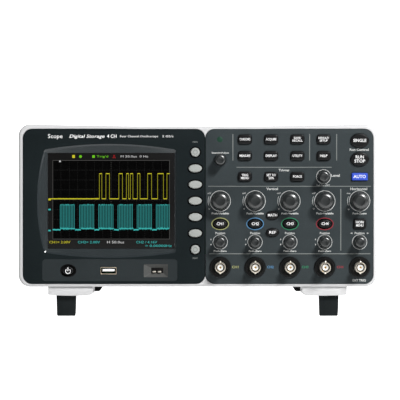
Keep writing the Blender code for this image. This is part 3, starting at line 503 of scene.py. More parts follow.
def letters(bm, words, x, y, height, width, depth, weight=0.015, slant=0.0):
    """Adds a line of raised print. The height is a capital's, and the width stretches or narrows the line."""
    capital = 0.72
    text = bpy.data.curves.new("letters", "FONT")
    text.body = words
    text.align_x = "CENTER"
    text.align_y = "CENTER"
    text.size = height * MM / capital
    text.extrude = 0.02 * MM
    text.offset = weight * height * MM
    text.resolution_u = 2
    text.shear = slant
    part = from_curve(text, 0.0005)
    reach = [vert.co.x for vert in part.verts]
    stretch = width * MM / (max(reach) - min(reach))
    return add(bm, part, at(x, y, depth) @ Matrix.Diagonal((stretch, 1, 1, 1)))


def skin(rings, close_first=False, close_last=False):
    """A surface through a stack of outlines, each given with its depth, closed at its ends if asked."""
    bm = bmesh.new()
    loops = []
    for points, depth in rings:
        ring = [bm.verts.new((x * MM, y * MM, depth * MM)) for x, y in points]
        loops.append([bm.edges.new((ring[i - 1], ring[i])) for i in range(len(ring))])
    for lower, upper in zip(loops, loops[1:]):
        bmesh.ops.bridge_loops(bm, edges=lower + upper)
    for wanted, loop in ((close_first, loops[0]), (close_last, loops[-1])):
        if wanted:
            bmesh.ops.contextual_create(bm, geom=loop)
    bmesh.ops.recalc_face_normals(bm, faces=bm.faces)
    return bm


def facing_out(bm):
    """Turns an open sheet's faces towards the front of the panel."""
    bmesh.ops.recalc_face_normals(bm, faces=bm.faces)
    if sum(f.normal.z * f.calc_area() for f in bm.faces) < 0:
        bmesh.ops.reverse_faces(bm, faces=bm.faces)
    return bm


def rounded(edge, low, high, radius, steps=4, back=False):
    """Rings for a wall whose front rim is rounded. The edge function gives an outline from its inset."""
    turns = [math.radians(90 * k / steps) for k in range(steps + 1)]
    steps_in = [(edge(radius * (1 - math.sin(a))), radius * (1 - math.cos(a))) for a in turns]
    rings = [(points, high - fall) for points, fall in steps_in]
    if back:
        return rings + [(points, low + fall) for points, fall in reversed(steps_in)]
    return rings + [(edge(0), low)]


def piece(name, bm, finish, slot, replaces=(), angle=35, body="case"):
    """A finished piece: placed on the leaning panel, shaded smooth and riding on its body."""
    bm.transform(panel)
    mesh = bpy.data.meshes.new(name)
    bm.to_mesh(mesh)
    bm.free()
    mesh.materials.clear()
    mesh.materials.append(finishes[finish])
    for face in mesh.polygons:
        face.material_index = 0
    mesh.shade_smooth()
    mesh.set_sharp_from_angle(angle=math.radians(angle))
    item = bpy.data.objects.new(name, mesh)
    bpy.context.scene.collection.objects.link(item)
    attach(item, body)
    if replaces:
        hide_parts(*replaces)


# ---------------------------------------------------------------- case

corner_steps = 12


def frame_edge(inset):
    return outline(left_edge + inset, right_edge - inset, inset, case_height - inset, case_corner - inset,
                   corner_steps, (0, -top_dip, 0, 0), 32)


def pocket(left, right, first_corner):
    """The outline of a fascia's pocket, from the start of one of its corners, cut off at the seam."""
    fit = 0.3
    seam = (screen_right + control_left) / 2
    points = outline(left - fit, right + fit, rim_bottom - fit, fascia_top + fit, fascia_corner + fit,
                     corner_steps)
    first = first_corner * (corner_steps + 1)
    return [p for p in points[first:] + points[:first] if (p[0] > seam) == (left > seam)]


pockets = pocket(control_left, control_right, 3) + pocket(screen_left, screen_right, 1)
front_round = 2.5
bm = skin(rounded(frame_edge, -front_depth, 0, front_round))
add(bm, flat([frame_edge(front_round), pockets], -0.001, 0))
add(bm, skin([(pockets, 0), (pockets, -front_depth)]))
add(bm, flat([frame_edge(0), pockets], -front_depth, -front_depth + 0.001))
weld(bm, 0.004)
bmesh.ops.recalc_face_normals(bm, faces=bm.faces)

housing_width = 40.8
housing_centre = right_edge - 26.8 - housing_width / 2
leg_centre = right_edge - 43.1
leg_width = 18.4
leg_axis_depth = -9.8


def housing_edge(side):
    """A leg housing's outline: a shallow trough with a sharper outer corner. The side is -1 at the left."""
    def edge(inset):
        centre = side * housing_centre
        half = housing_width / 2 - inset
        low = -7.4 + inset
        sharp, soft = 1.3 - inset, 3.2 - inset
        first, last = (sharp, soft) if side < 0 else (soft, sharp)
        corners = [(centre - half, 1, 0.2), (centre - half, low, first)]
        corners += [(centre + half * t, low - 0.9 * (1 - t * t), 0.2) for t in (-0.6, -0.35, 0, 0.35, 0.6)]
        corners += [(centre + half, low, last), (centre + half, 1, 0.2)]
        return rounded_path(corners)
    return edge


for side in (-1, 1):
    housing = skin(rounded(housing_edge(side), -37, -3, 0.6, 4, True), True, True)
    half = leg_width / 2 + 0.4
    add(bm, carve(housing, block(side * leg_centre - half, side * leg_centre + half, -14, -1.6, -34.6, -7.2)))
piece("front_frame_shell", bm, "case_white", "case_white", ("front_frame",))

rear_left = left_edge + rear_step
rear_right = right_edge - rear_step
rear_bottom = 0.7
rear_top = case_height - top_dip - rear_step
rear_corner = case_corner - rear_step
rear_wall_inner = -case_depth + wall


def rear_edge(inset):
    return outline(rear_left + inset, rear_right - inset, rear_bottom + inset, rear_top - inset,
                   rear_corner - inset, 10)


rear_round = 5
rings = []
for k in range(9):
    a = math.radians(90 * k / 8)
    rings.append((rear_edge(rear_round * (1 - math.sin(a))), -case_depth + rear_round * (1 - math.cos(a))))
bm = skin(rings + [(rear_edge(0), -front_depth - 0.4)], True, True)
bm = carve(bm, skin([(rear_edge(wall), rear_wall_inner), (rear_edge(wall), -front_depth + 1)], True, True))

slot_bottom = 48
slot_top = 100
slot_width = 3
slot_pitch = 6
slot_round = 1.2
cuts = bmesh.new()
for i in range(9):
    depth = -case_depth + 20 + slot_pitch * i
    for x in (rear_left, rear_right):
        add(cuts, block(x - 4, x + 4, slot_bottom, slot_top, depth - slot_width / 2, depth + slot_width / 2,
                        slot_round))
fan_column = right_edge - 65
fan_row = case_height / 2
fan_reach = 26.5
for i in range(8):
    offset = (i - 3.5) * slot_pitch
    length = 2 * math.sqrt(fan_reach ** 2 - offset ** 2)
    add(cuts, slab(fan_column, fan_row + offset, length, slot_width, -case_depth - 2, rear_wall_inner + 2,
                   slot_round))
inlet_column = left_edge + 43
inlet_row = 30.7
add(cuts, slab(inlet_column, inlet_row, 27.8, 20.2, -case_depth - 1, rear_wall_inner + 1))
piece("rear_case_shell", carve(bm, cuts), "case_grey", "case_rear", ("rear_case",))

# A black sheet just inside the slots of each side: painted shade seen through the vents
sheet_half = 0.4
bm = joined(block(x - sheet_half, x + sheet_half, slot_bottom - 4, slot_top + 4, -case_depth + 15,
                  -case_depth + 73) for x in (rear_left + wall + 0.6, rear_right - wall - 0.6))
piece("vent_sheets", bm, "collar_black", "fan_black")


def screw(x, y, radius):
    """A pan head with a cross recess, on the back wall."""
    dome = [(0, -1.0), (0.5, -0.97), (0.8, -0.75), (1.0, -0.3), (1.0, 0.3), (0, 0.3)]
    head = spun([(r * radius, z) for r, z in dome], 24)
    for across, down in ((1.24, 0.28), (0.28, 1.24)):
        head = carve(head, slab(0, 0, across * radius, down * radius, -2, -0.45))
    head.transform(at(x, y, -case_depth))
    return head


fan_screw = 25
screws = [(x, y, 3.2) for x in (rear_left + 12, rear_right - 12) for y in (14, rear_top - 12)]
screws += [(x, y, 2.6) for x in (fan_column - fan_screw, fan_column + fan_screw)
           for y in (fan_row - fan_screw, fan_row + fan_screw)]
piece("rear_screws", joined(screw(*spot) for spot in screws), "steel", "sheet_metal")

# ---------------------------------------------------------------- screen fascia


def face_edge(left, right):
    def edge(inset):
        return outline(left + inset, right - inset, rim_bottom + inset, fascia_top - inset,
                       fascia_corner - inset, corner_steps)
    return edge


def fascia(edge, holes):
    """A moulded front with a rounded rim and square-cut holes."""
    radius = 0.5
    bm = skin(rounded(edge, fascia_back, fascia_front, radius))
    add(bm, flat([edge(radius)] + holes, fascia_front - 0.001, fascia_front))
    for hole in holes:
        add(bm, skin([(hole, fascia_front), (hole, fascia_back)]))
    add(bm, flat([edge(0)] + holes, fascia_back, fascia_back + 0.001))
    weld(bm, 0.004)
    bmesh.ops.recalc_face_normals(bm, faces=bm.faces)
    return bm


def bezel_ring(inset, right_inset, corner):
    """The bowed outline of the bezel. Its right side is straight, and has its own inset."""
    return outline(display_left - 3.8 + inset, display_right + 1.7 - right_inset, display_bottom - 4.0 + inset,
                   display_top + 3.5 - inset, corner, 8, (0, 4.8, 6.0, 4.4), 24, True)


bezel_edge = bezel_ring(0, 0, 3.0)
soft_keys = [(row, 8.0, 8.0) if i in (0, 6) else (row, 12.0, 7.1) for i, row in enumerate(soft_rows)]
dish_rim = 1.25
power_dish = oval(power_column, strip_row, 14.8, 11.8)
usb_hole = centred(usb_column, strip_row, 15.0, 6.9, 0.8)
probe_hole = centred(probe_column, strip_row, 22.0, 11.9, 0.8)
strip_edge = [centred((display_left + display_right) / 2 - 1, strip_row + 0.5, 123 - 2 * inset, 20 - 2 * inset,
                      3.0 - inset, 8) for inset in (0, 0.35)]
strip_front = fascia_front - 0.3
holes = [bezel_edge]
holes += [oval(soft_column, row, width + 2 * dish_rim, height + 2 * dish_rim, 40)
          for row, width, height in soft_keys]
holes.append(strip_edge[0])
piece("screen_fascia_face", fascia(face_edge(screen_left, screen_right), holes), "screen_dark",
      "fascia_screen", ("screen_fascia",))

# The bezel slopes from the face down to the window, with a glossy lip round it.
window_edge = outline(display_left - 0.2, display_right + 0.2, display_bottom - 0.2, display_top + 0.2, 0.4, 8,
                      (0, 0, 0, 0), 24, True)
lip_front = fascia_front - 0.75
inner_edge = bezel_ring(1.4, 0.6, 1.8)
bm = skin([(bezel_edge, fascia_front - 0.02), (inner_edge, lip_front)])
piece("bezel_lip", facing_out(bm), "bezel_lip", "fascia_screen", (), 60)
bm = skin([(inner_edge, lip_front), (window_edge, window_front + 0.1), (window_edge, window_front - 0.8)])
piece("bezel", facing_out(bm), "bezel_grey", "fascia_screen", (), 30)

# Shallow sunk strip round the power key and the ports
bm = skin([(strip_edge[0], fascia_front - 0.01), (strip_edge[1], strip_front)])
add(bm, flat([strip_edge[1], power_dish, usb_hole, probe_hole], strip_front - 0.001, strip_front))
piece("port_strip", facing_out(weld(bm, 0.004)), "strip_dark", "fascia_screen")

# Dishes round the soft keys and the power key, coloured near-black: painted shade in these hollows
bm = bmesh.new()
for row, width, height in soft_keys:
    rims = [oval(soft_column, row, width + 2 * e, height + 2 * e, 40) for e in (dish_rim, 0.75, 0.35, 0.35)]
    depths = (fascia_front - 0.03, fascia_front - 0.5, fascia_front - 1.0, fascia_back)
    add(bm, skin(list(zip(rims, depths))))
rims = [oval(power_column, strip_row, width, height)
        for width, height in ((14.8, 11.8), (14.2, 11.2), (11.8, 9.0), (10.6, 8.0), (10.6, 8.0))]
depths = (strip_front, strip_front - 0.2, fascia_front - 1.2, fascia_front - 1.4, fascia_back)
add(bm, skin(list(zip(rims, depths))))
piece("key_dishes", facing_out(bm), "pit_shade_and_black_print", "fascia_screen", (), 50)

# ---------------------------------------------------------------- display

bm = block(display_left, display_right, display_bottom, display_top, window_front - 1.5, window_front, 0.15)
piece("display_panel", bm, "display_grey", "window", ("display_window",))


def bars(items, low, high):
    """Thin plates, each given as left, right, bottom and top, between two heights above the display."""
    return joined(block(*sides, window_front + low, window_front + high) for sides in items)


def tick(x, y, width, height):
    return x - width / 2, x + width / 2, y - height / 2, y + height / 2


field_left, field_right, field_bottom, field_top = field = (-131.9, -25.3, 43.3, 115.2)
field_level = 0.01
line_level = 0.015
piece("graticule_field", bars([field], 0, field_level), "display_black", "window")
border = 0.35
items = [(field_left, field_right, field_bottom, field_bottom + border),
         (field_left, field_right, field_top - border, field_top),
         (field_left, field_left + border, field_bottom, field_top),
         (field_right - border, field_right, field_bottom, field_top)]
piece("graticule_border", bars(items, field_level, line_level), "grid_pale", "window")
dots = []
centre_dots = []
cells_across = 14
cells_down = 8
ticks = 5
across = (field_right - field_left) / cells_across
down = (field_top - field_bottom) / cells_down
for i in range(1, cells_across):
    middle = i == cells_across // 2
    size = (0.6, 0.36) if middle else (0.24, 0.6)
    for j in range(1, cells_down * ticks + 1):
        spot = tick(field_left + i * across, field_bottom + j * down / ticks, *size)
        (centre_dots if middle else dots).append(spot)
for j in range(1, cells_down):
    middle = j == cells_down // 2
    size = (0.36, 0.6) if middle else (0.6, 0.24)
    for i in range(1, cells_across * ticks):
        spot = tick(field_left + i * across / ticks, field_bottom + j * down, *size)
        (centre_dots if middle else dots).append(spot)
piece("graticule_lines", bars(dots, field_level, line_level), "grid_grey", "window")
piece("graticule_centre", bars(centre_dots, field_level, line_level), "grid_pale", "window")

# Yellow trace: low, then a train of pulses
low_level = 80.1
high_level = 103.0
pulses = [(-89.3, -87.1), (-83.4, -80.1), (-71.6, -68.3), (-64.7, -62.7), (-61.1, -58.8), (-54.6, -52.3),
          (-45.4, -41.8), (-36.3, -31.0), (-27.8, field_right)]
line = 0.75
items = []
edges = []
start = -135.0
for left, right in pulses:
    items.append((start, left, low_level - line / 2, low_level + line / 2))
    items.append((left, right, high_level - line / 2, high_level + line / 2))
    edges.append((left - 0.22, left + 0.22, low_level, high_level))
    if right < field_right:
        edges.append((right - 0.22, right + 0.22, low_level, high_level))
    start = right
for k in range(40):
    x = -134 + k * 1.1
    below = random.uniform(0, 0.25)
    above = random.uniform(0, 0.3)
    items.append((x, x + 0.5, low_level - line / 2 - below, low_level + line / 2 + above))
piece("trace_edges", bars(edges, line_level, 0.028), "lit_olive", "window")
piece("trace_yellow", bars(items, line_level, 0.03), "lit_yellow", "window")

# Teal trace: bursts of fine lines on a low line
bursts = [(-124.9, -112.1), (-107.3, -94.5), (-89.9, -76.9), (-72.4, -59.3), (-54.9, -41.9), (-37.5, -25.7)]
burst_low = 53.0
piece("burst_fill", bars([(a, b, burst_low + 0.2, 75.0) for a, b in bursts], field_level, 0.02),
      "lit_teal_dim", "window")
stripe_pitch = 1.5
items = []
for a, b in bursts:
    count = round((b - a) / stripe_pitch)
    for k in range(count + 1):
        x = a + (b - a) * k / count
        items.append((x - 0.27, x + 0.27, burst_low, 74.6 + random.uniform(-0.3, 0.7)))
piece("burst_lines", bars(items, line_level, 0.025), "lit_teal", "window")
items = []
x = field_left
while x < field_right - 0.3:
    width = random.uniform(0.7, 1.5)
    inside_burst = any(a <= x <= b for a, b in bursts)
    y = burst_low if inside_burst else 51.9
    y += random.uniform(-0.15, 0.15)
    thick = 0.34 if inside_burst else 0.62
    items.append((x, min(x + width, field_right), y - thick, y + thick))
    if inside_burst:
        items.append((x, x + 0.45, y - random.uniform(0.6, 1.2), y + random.uniform(0.4, 1.2)))
        items.append((x, x + 0.5, 74.1, 74.7 + random.uniform(0.0, 0.6)))
    x += width
bm = bars(items, 0.025, 0.035)
text_height = 0.03
text_level = window_front + text_height


def write(bm, lines, depth, weight=0.015):
    """Adds lines of print, each given as words, middle, row, height and width."""
    for line in lines:
        letters(bm, *line, depth, weight)
    return bm


def dot(x, y, width, steps):
    edge = oval(x, y, width, width, steps)
    return skin([(edge, text_level - 0.02), (edge, text_level)], True, True)


reading_row = 40.5
state_row = 118.6
write(bm, (("CH2= 2.00V", -99.0, reading_row, 2.3, 20), ("CH2 / 4.16V", -46.4, reading_row, 2.3, 19),
           ("= 0.00000Hz", -35.5, 37.2, 2.2, 24)), text_level, 0)
add(bm, bars([(-135.8, -133.6, y - 0.7, y + 0.7) for y in (70.3, 51.2)], 0, text_height))
piece("trace_cyan", bm, "lit_cyan", "window")

bm = write(bmesh.new(), (("CH1= 2.00V", -125.4, reading_row, 2.3, 19),), text_level, 0)
add(bm, bars([(-135.8, -133.4, 78.7, 80.3)], 0, text_height))
add(bm, block(-114.0, -111.6, 117.3, 120.0, window_front, text_level, 0.005))
piece("display_words_yellow", bm, "lit_yellow", "window")
bm = write(bmesh.new(), (("H 50.0us", -74.6, reading_row, 2.3, 15.5),
                         ("M 50.0us  0 Hz", -57.5, state_row, 2.0, 25)), text_level, 0)
add(bm, dot(-125.2, 114.2, 1.6, 16))
piece("display_words_white", bm, "lit_white", "window")
bm = add(bmesh.new(), dot(-106.5, state_row, 2.6, 20))
add(bm, bars([(-95.8, -93.4, 117.4, 119.8)], 0, text_height))
write(bm, (("Trig'd", -86.5, state_row, 2.0, 10.5),), text_level, 0)
piece("display_words_green", bm, "lit_green", "window")
bm = bars([(-77.4, -76.6, 117.2, 117.7), (-76.6, -76.2, 117.2, 119.9), (-76.6, -75.2, 119.5, 119.9),
           (-75.6, -75.2, 117.2, 119.9), (-75.2, -74.4, 117.2, 117.7)], 0, text_height)
piece("display_mark_red", bm, "lit_red", "window")

# ---------------------------------------------------------------- control fascia

# Each key has its place, width, height, corner radius and finish. A corner of 0 makes it oval.
menu_shape = (12.3, 8.3, 2.6, "key_black")
run_shape = (16.6, 12.6, 0, "key_black")
between_shape = (11.6, 7.4, 0, "key_black")
middle_column = (columns[1] + columns[2]) / 2
soft_names = ["menu_on_off_key"] + ["option_key_" + str(i) for i in range(1, 6)] + ["print_key"]
menu_names = ((top_row, ("cursors_key", "acquire_key", "save_recall_key", "default_setup_key")),
              (menu_row, ("measure_key", "display_key", "utility_key", "help_key")),
              (trigger_row, ("trigger_menu_key", "set_to_half_key", "force_key")))
keys = [(label, soft_column, *shape, 0, "key_grey") for label, shape in zip(soft_names, soft_keys)]
keys.append(("power_key", power_column, strip_row, 9.8, 7.2, 0, "key_black"))
for row, names in menu_names:
    keys += [(label, x, row, *menu_shape) for x, label in zip(menu_columns, names)]
keys.append(("single_key", columns[4], top_row - 1.1, *run_shape))
keys.append(("run_stop_key", columns[4], menu_row - 3.0, *run_shape))
keys.append(("auto_key", columns[4], trigger_row, 14.6, 6.8, 0.9, "key_blue"))
for i in range(4):
    keys.append(("channel_" + str(i + 1) + "_key", columns[i], channel_row, 11.4, 7.2, 0, "key_black"))
keys.append(("math_key", middle_column, channel_row + 7.8, *between_shape))
keys.append(("reference_key", middle_column, channel_row - 7.8, *between_shape))
keys.append(("horizontal_menu_key", columns[4], channel_row, 11.4, 9.0, 2.2, "key_black"))


def key_edge(x, y, width, height, corner, grow):
    if corner:
        return centred(x, y, width + 2 * grow, height + 2 * grow, corner + grow, 8)
    return oval(x, y, width + 2 * grow, height + 2 * grow)


small_knob = (5.7, 12.0)
large_knob = (8.4, 13.0)
knobs = [("adjust_knob", columns[0], menu_row - 3.7, *small_knob),
         ("trigger_level_knob", menu_columns[3], trigger_row, *small_knob),
         ("timebase_knob", columns[4], scale_row, *large_knob),
         ("horizontal_position_knob", columns[4], position_row, *small_knob)]
for i in range(4):
    knobs.append(("volts_knob_" + str(i + 1), columns[i], scale_row, *large_knob))
    knobs.append(("position_knob_" + str(i + 1), columns[i], position_row, *small_knob))

control_keys = keys[len(soft_names) + 1:]
holes = [key_edge(x, y, width, height, corner, 0.35)
         for label, x, y, width, height, corner, finish in control_keys]
holes += [oval(x, y, 6.9, 6.9, 24) for label, x, y, radius, height in knobs]
holes += [oval(x, socket_row, 12.4, 12.4, 40) for x in columns]
piece("control_fascia_face", fascia(face_edge(control_left, control_right), holes), "control_dark",
      "fascia_control", ("control_fascia",))

# Raised black collars round the sockets
profile = [(4.95, -0.5), (4.95, 0.2), (6.6, 0.4), (7.0, 1.6), (7.4, 1.9), (8.9, 1.8), (9.5, 1.3), (9.7, 0.7),
           (9.7, -0.02), (6.1, -0.02), (6.1, -0.5), (4.95, -0.5)]
bm = joined(spun(profile, 72, x, socket_row, fascia_front) for x in columns)
piece("socket_collars", bm, "collar_black", "fascia_control")

# ---------------------------------------------------------------- keys

flange_reach = -0.8
for label, x, y, width, height, corner, finish in keys:

    def edge(inset):
        return key_edge(x, y, width, height, corner, -inset)

    rings = rounded(edge, flange_front, key_face, 0.85, 5)
    rings += [(edge(flange_reach), flange_front), (edge(flange_reach), flange_back)]
    piece(label + "_cap", skin(rings, True, True), finish, finish, (label,), 40, label)

# The lines of each key's legend, each with its words, width and height
legends = {"cursors_key": (("CURSORS", 9.8, 2.2),), "acquire_key": (("ACQUIRE", 9.6, 2.2),),
           "save_recall_key": (("SAVE/", 6.6, 1.9), ("RECALL", 9.2, 1.9)),
           "default_setup_key": (("DEFAULT/", 9.6, 1.9), ("SETUP", 7.4, 1.9)),
           "measure_key": (("MEASURE", 9.8, 2.2),), "display_key": (("DISPLAY", 10.0, 2.2),),
           "utility_key": (("UTILITY", 9.0, 2.2),), "help_key": (("HELP", 6.6, 2.2),),
           "trigger_menu_key": (("TRIG", 6.0, 2.1), ("MENU", 7.2, 2.1)),
           "set_to_half_key": (("SET TO", 8.2, 2.1), ("50%", 4.8, 2.1)), "force_key": (("FORCE", 8.0, 2.2),),
           "single_key": (("SINGLE", 11.8, 2.8),), "run_stop_key": (("RUN", 7.4, 2.9), ("STOP", 9.8, 2.9)),
           "auto_key": (("AUTO", 11.2, 2.9),), "math_key": (("MATH", 8.4, 2.5),),
           "reference_key": (("REF", 6.2, 2.5),),
           "horizontal_menu_key": (("HORI", 7.0, 2.3), ("MENU", 6.8, 2.3))}
for i in range(4):
    legends["channel_" + str(i + 1) + "_key"] = (("CH" + str(i + 1), 6.4, 2.7),)
places = {label: (x, y) for label, x, y, *rest in keys}
line_spacing = 1.28
for label, lines in legends.items():
    x, y = places[label]
    bm = bmesh.new()
    step = lines[0][2] * line_spacing
    for k, (words, width, height) in enumerate(lines):
        row = y + ((len(lines) - 1) / 2 - k) * step
        letters(bm, words, x, row, height, width, key_face, 0.018, 0.12 if label.startswith("channel") else 0)
    piece(label + "_legend", bm, "legend_white", "key_black", body=label)


def inked(outlines, level):
    """A printed area: its ink sinks a little into the surface and stands a little above it."""
    return flat(outlines, level - 0.01, level + 0.03)


# Small ring on each round soft key
for label in ("menu_on_off_key", "print_key"):
    x, y = places[label]
    bm = inked([oval(x, y, 4.2, 4.2), oval(x, y, 3.2, 3.2)], key_face)
    piece(label + "_ring", bm, "print_grey", "key_grey", body=label)


def arc_band(x, y, outer, inner, start, end, steps):
    """The outline of a stretch of an oval band. Outer and inner are its half width and half height."""
    turns = [math.radians(start + (end - start) * k / steps) for k in range(steps + 1)]
    points = [(x + outer[0] * math.cos(a), y + outer[1] * math.sin(a)) for a in turns]
    return points + [(x + inner[0] * math.cos(a), y + inner[1] * math.sin(a)) for a in reversed(turns)]


# Power mark: a broken ring with a bar
bm = inked([arc_band(power_column, strip_row - 0.4, (2.5, 2.5), (1.85, 1.85), -230, 50, 28)], key_face)
add(bm, block(power_column - 0.35, power_column + 0.35, strip_row - 0.3, strip_row + 2.9, key_face - 0.01,
              key_face + 0.03))
piece("power_mark", bm, "legend_white", "key_black", body="power_key")

# ---------------------------------------------------------------- knobs


def knob_body(x, y, radius, height):
    """A gripped cap with a broad rounded shoulder, a dished top and a spreading skirt, on its shaft."""
    bottom = fascia_front + 0.5
    top = fascia_front + height
    shaft = 3.0
    shaft_end = flange_back - 0.6
    dish = radius * 0.46
    profile = [(0, top - 0.55), (dish * 0.6, top - 0.5), (dish - 0.2, top - 0.35), (dish, top - 0.05)]
    grip = radius - 1.0
    shoulder = dish + 0.35
    reach = grip - shoulder
    drop = 0.44 * reach
    for k in range(10):
        s = k / 9
        profile.append((shoulder + reach * s, top - drop * s ** 1.3 - 0.9 * s ** 8))
    profile += [(grip + 0.15, bottom + 4.5), (grip + 0.25, bottom + 2.8), (radius - 0.25, bottom + 1.5),
                (radius, bottom + 1.0), (radius, bottom + 0.15), (radius - 0.15, bottom), (shaft, bottom),
                (shaft, shaft_end), (0, shaft_end)]
    ribs = 36 if radius > 7 else 28
    bm = spun(profile, ribs * 4)
    groove_depth = 0.24
    for vert in bm.verts:
        r = math.hypot(vert.co.x, vert.co.y) / MM
        level = vert.co.z / MM
        span = top - 0.5 - level
        if r > grip * 0.8 and span > 0 and level > bottom + 2.6:
            groove = 0.5 - 0.5 * math.cos(ribs * math.atan2(vert.co.y, vert.co.x))
            shrink = 1 - groove_depth * groove * min(span / 2, 1) / r
            vert.co.x *= shrink
            vert.co.y *= shrink
    bm.transform(at(x, y, 0))
    return bm


for label, x, y, radius, height in knobs:
    piece(label + "_cap", knob_body(x, y, radius, height), "knob_black", "knob", (label,), 30, label)

# ---------------------------------------------------------------- printed marks

printed = fascia_front


def ring_mark(x, y, width, height, line):
    """A printed ring."""
    return inked([oval(x, y, width, height, 72), oval(x, y, width - 2 * line, height - 2 * line, 72)], printed)


# Raised rules between the groups of controls
rules = [(x - 0.4, x + 0.4, 114.9, 139.0) for x in (32.2, 102.0, 126.6)]
rules += [(129.9, 130.8, 33.0, 89.0), (35.5, 122.0, 108.4, 109.1), (9.6, 157.7, 91.1, 91.8),
          (10.6, 157.3, 29.7, 30.5)]
bm = joined(block(*sides, printed - 0.05, printed + 0.14, 0.06) for sides in rules)
piece("control_rules", bm, "print_grey", "fascia_control")

rings = [(x, scale_row, 19.2, 19.2, 0.5) for x in columns]
rings += [(x, position_row, 13.6, 13.6, 0.45) for x in columns]
rings.append((menu_columns[3], trigger_row, 13.4, 13.4, 0.45))
piece("knob_rings", joined(ring_mark(*ring) for ring in rings), "print_white", "fascia_control")

bm = write(bmesh.new(), (
    ("Intensity/Adjust", 20.7, 121.9, 1.6, 15.5), ("Trigger", 78.8, 106.0, 2.2, 10.0),
    ("Vertical", 68.1, 89.0, 2.2, 10.6), ("Horizontal", 146.7, 89.0, 2.2, 15.4),
    ("Run Control", 147.1, 124.7, 2.1, 17.4), ("Level", 125.5, 101.2, 2.3, 7.9),
    ("EXT TRIG", 147.1, 5.8, 2.0, 12.2)), printed, 0.045)
piece("section_words", bm, "print_white", "fascia_control")

bm = bmesh.new()
for i, x in enumerate(columns):
    last = i == 4
    write(bm, (("Position", x, position_row + 8.0, 1.9, 9.0),), printed, 0.04)
    if not last:
        write(bm, (("Push-Zero", x, position_row - 8.3, 1.5, 11.8),), printed, 0.06)
    push, width, fine, coarse = ("Push-Zoom", 12.6, "ns", "s") if last else ("Push-Variable", 15.6, "mV", "V")
    write(bm, ((push, x, scale_row - 11.4, 1.6, width),), printed, 0.06)
    add(bm, inked([arc_band(x, scale_row, (11.2, 11.2), (10.85, 10.85), 158, 202, 24)], printed))
    write(bm, ((fine, x - 10.0, scale_row + 7.0, 1.6, 3.2), (coarse, x - 10.0, scale_row - 7.4, 1.6, 1.6)),
          printed)
    for way in (-1, 1):
        if last:
            tip = x + way * 8.6
            foot = tip - way * 2.0
            arrow = [(tip, position_row + 8.0), (foot, position_row + 8.7), (foot, position_row + 7.3)]
        else:
            row = position_row + way * 2.4
            left = x - 8.4
            arrow = [(left - 0.6, row - way * 0.6), (left + 0.6, row - way * 0.6), (left, row + way * 0.9)]
        add(bm, inked([arrow], printed))
write(bm, (("Push-Zero/50%", menu_columns[3] - 0.4, trigger_row - 7.8, 1.4, 12.0),), printed)
piece("control_words", bm, "print_white", "fascia_control")

for i, tint in enumerate(("yellow", "blue", "green", "red")):
    bm = ring_mark(columns[i], channel_row, 16.1, 11.4, 0.8)
    write(bm, (("CH" + str(i + 1), columns[i] + 13.9, socket_row, 2.2, 6.0),), printed, 0.03)
    piece("channel_mark_" + tint, bm, "print_" + tint, "fascia_control")
bm = joined(flat([oval(x, channel_row, 14.6, 10.0, 56), oval(x, channel_row, 12.1, 7.9, 56)], printed - 0.01,
                 printed + 0.02) for x in columns[:4])
piece("channel_grounds", bm, "pit_shade_and_black_print", "fascia_control")

bm = bmesh.new()
header = (("Scope", -129.4, 3.7, 13.2, 0.005, 0), ("Digital Storage", -100.8, 3.0, 32.0, 0.01, 0.25),
          ("4 CH", -77.8, 3.2, 8.6, 0.015, 0), ("Four Channel Oscilloscope", -53.2, 1.9, 34.5, 0, 0),
          ("2 GS/s", -27.0, 1.9, 10.0, 0, 0))
for words, x, height, width, weight, slant in header:
    letters(bm, words, x, 136.9, height, width, printed, weight, slant)
piece("header_words", bm, "legend_white", "fascia_screen")
bm = write(bmesh.new(), (("MENU", soft_column, soft_rows[0] + 9.2, 1.3, 4.6),
                         ("PRINT", soft_column, soft_rows[6] - 8.0, 1.3, 4.6)), printed, 0.03)
piece("screen_words", bm, "print_grey", "fascia_screen")

# Lamp above the adjust knob
lamp = [(0, 0.35), (1.2, 0.3), (2.2, 0.12), (2.8, -0.05), (3.1, -0.2)]
bm = spun(lamp, 40, columns[0] - 0.3, top_row, fascia_front)
piece("trigger_lamp", facing_out(bm), "lamp_green", "fascia_control")

# ---------------------------------------------------------------- sockets and ports

socket_front = fascia_front + 12.4
barrel_radius = 4.85
# Each turned part of a socket: its profile from the socket's front, and its steps
turned = {
    "barrels": ([(3.9, -8.0), (3.9, -0.3), (4.1, 0), (4.5, 0), (4.7, -0.25), (barrel_radius, -0.5),
                 (barrel_radius, -6.6), (4.6, -6.9), (4.6, -7.4), (barrel_radius, -7.7),
                 (barrel_radius, -22.0), (0, -22.0), (0, -21.0), (3.9, -21.0), (3.9, -8.0)], 56),
    "bores": ([(2.85, -7.8), (3.88, -7.8), (3.88, -5.5)], 48),
    "insulators": ([(0.9, -3.2), (1.0, -2.1), (2.2, -1.6), (2.75, -1.9), (2.85, -2.3), (2.85, -7.9)], 48),
    "pins": ([(0, -2.9), (0.35, -2.9), (0.45, -1.9), (0.8, -1.9), (1.05, -2.3), (1.05, -6.0)], 24)}
shapes = {name: bmesh.new() for name in turned}
for x in columns:
    for name, (profile, steps) in turned.items():
        add(shapes[name], spun(profile, steps, x, socket_row, socket_front))
    for way in (-1, 1):
        lug = spun([(0, 1.05), (0.5, 1.05), (1.0, 0.4), (1.1, -0.6), (0, -0.6)], 20)
        add(shapes["barrels"], lug, at(x, socket_row + way * barrel_radius, socket_front - 4.5)
            @ Matrix.Rotation(math.radians(-90 * way), 4, "X"))
earth_front = flange_back - 5.6
add(shapes["barrels"], block(columns[0] - 8, columns[4] + 8, socket_row - 11, socket_row + 7,
                             earth_front - 1.2, earth_front, 0.3))
piece("socket_barrels", shapes["barrels"], "nickel", "socket_metal", ("input_sockets",))
# The bores' floor and the deep end of their wall are painted dark: painted shade deep inside each socket.
piece("socket_bores", shapes["bores"], "bore_painted_shade", "socket_metal")
piece("socket_insulators", shapes["insulators"], "insulator", "socket_metal")
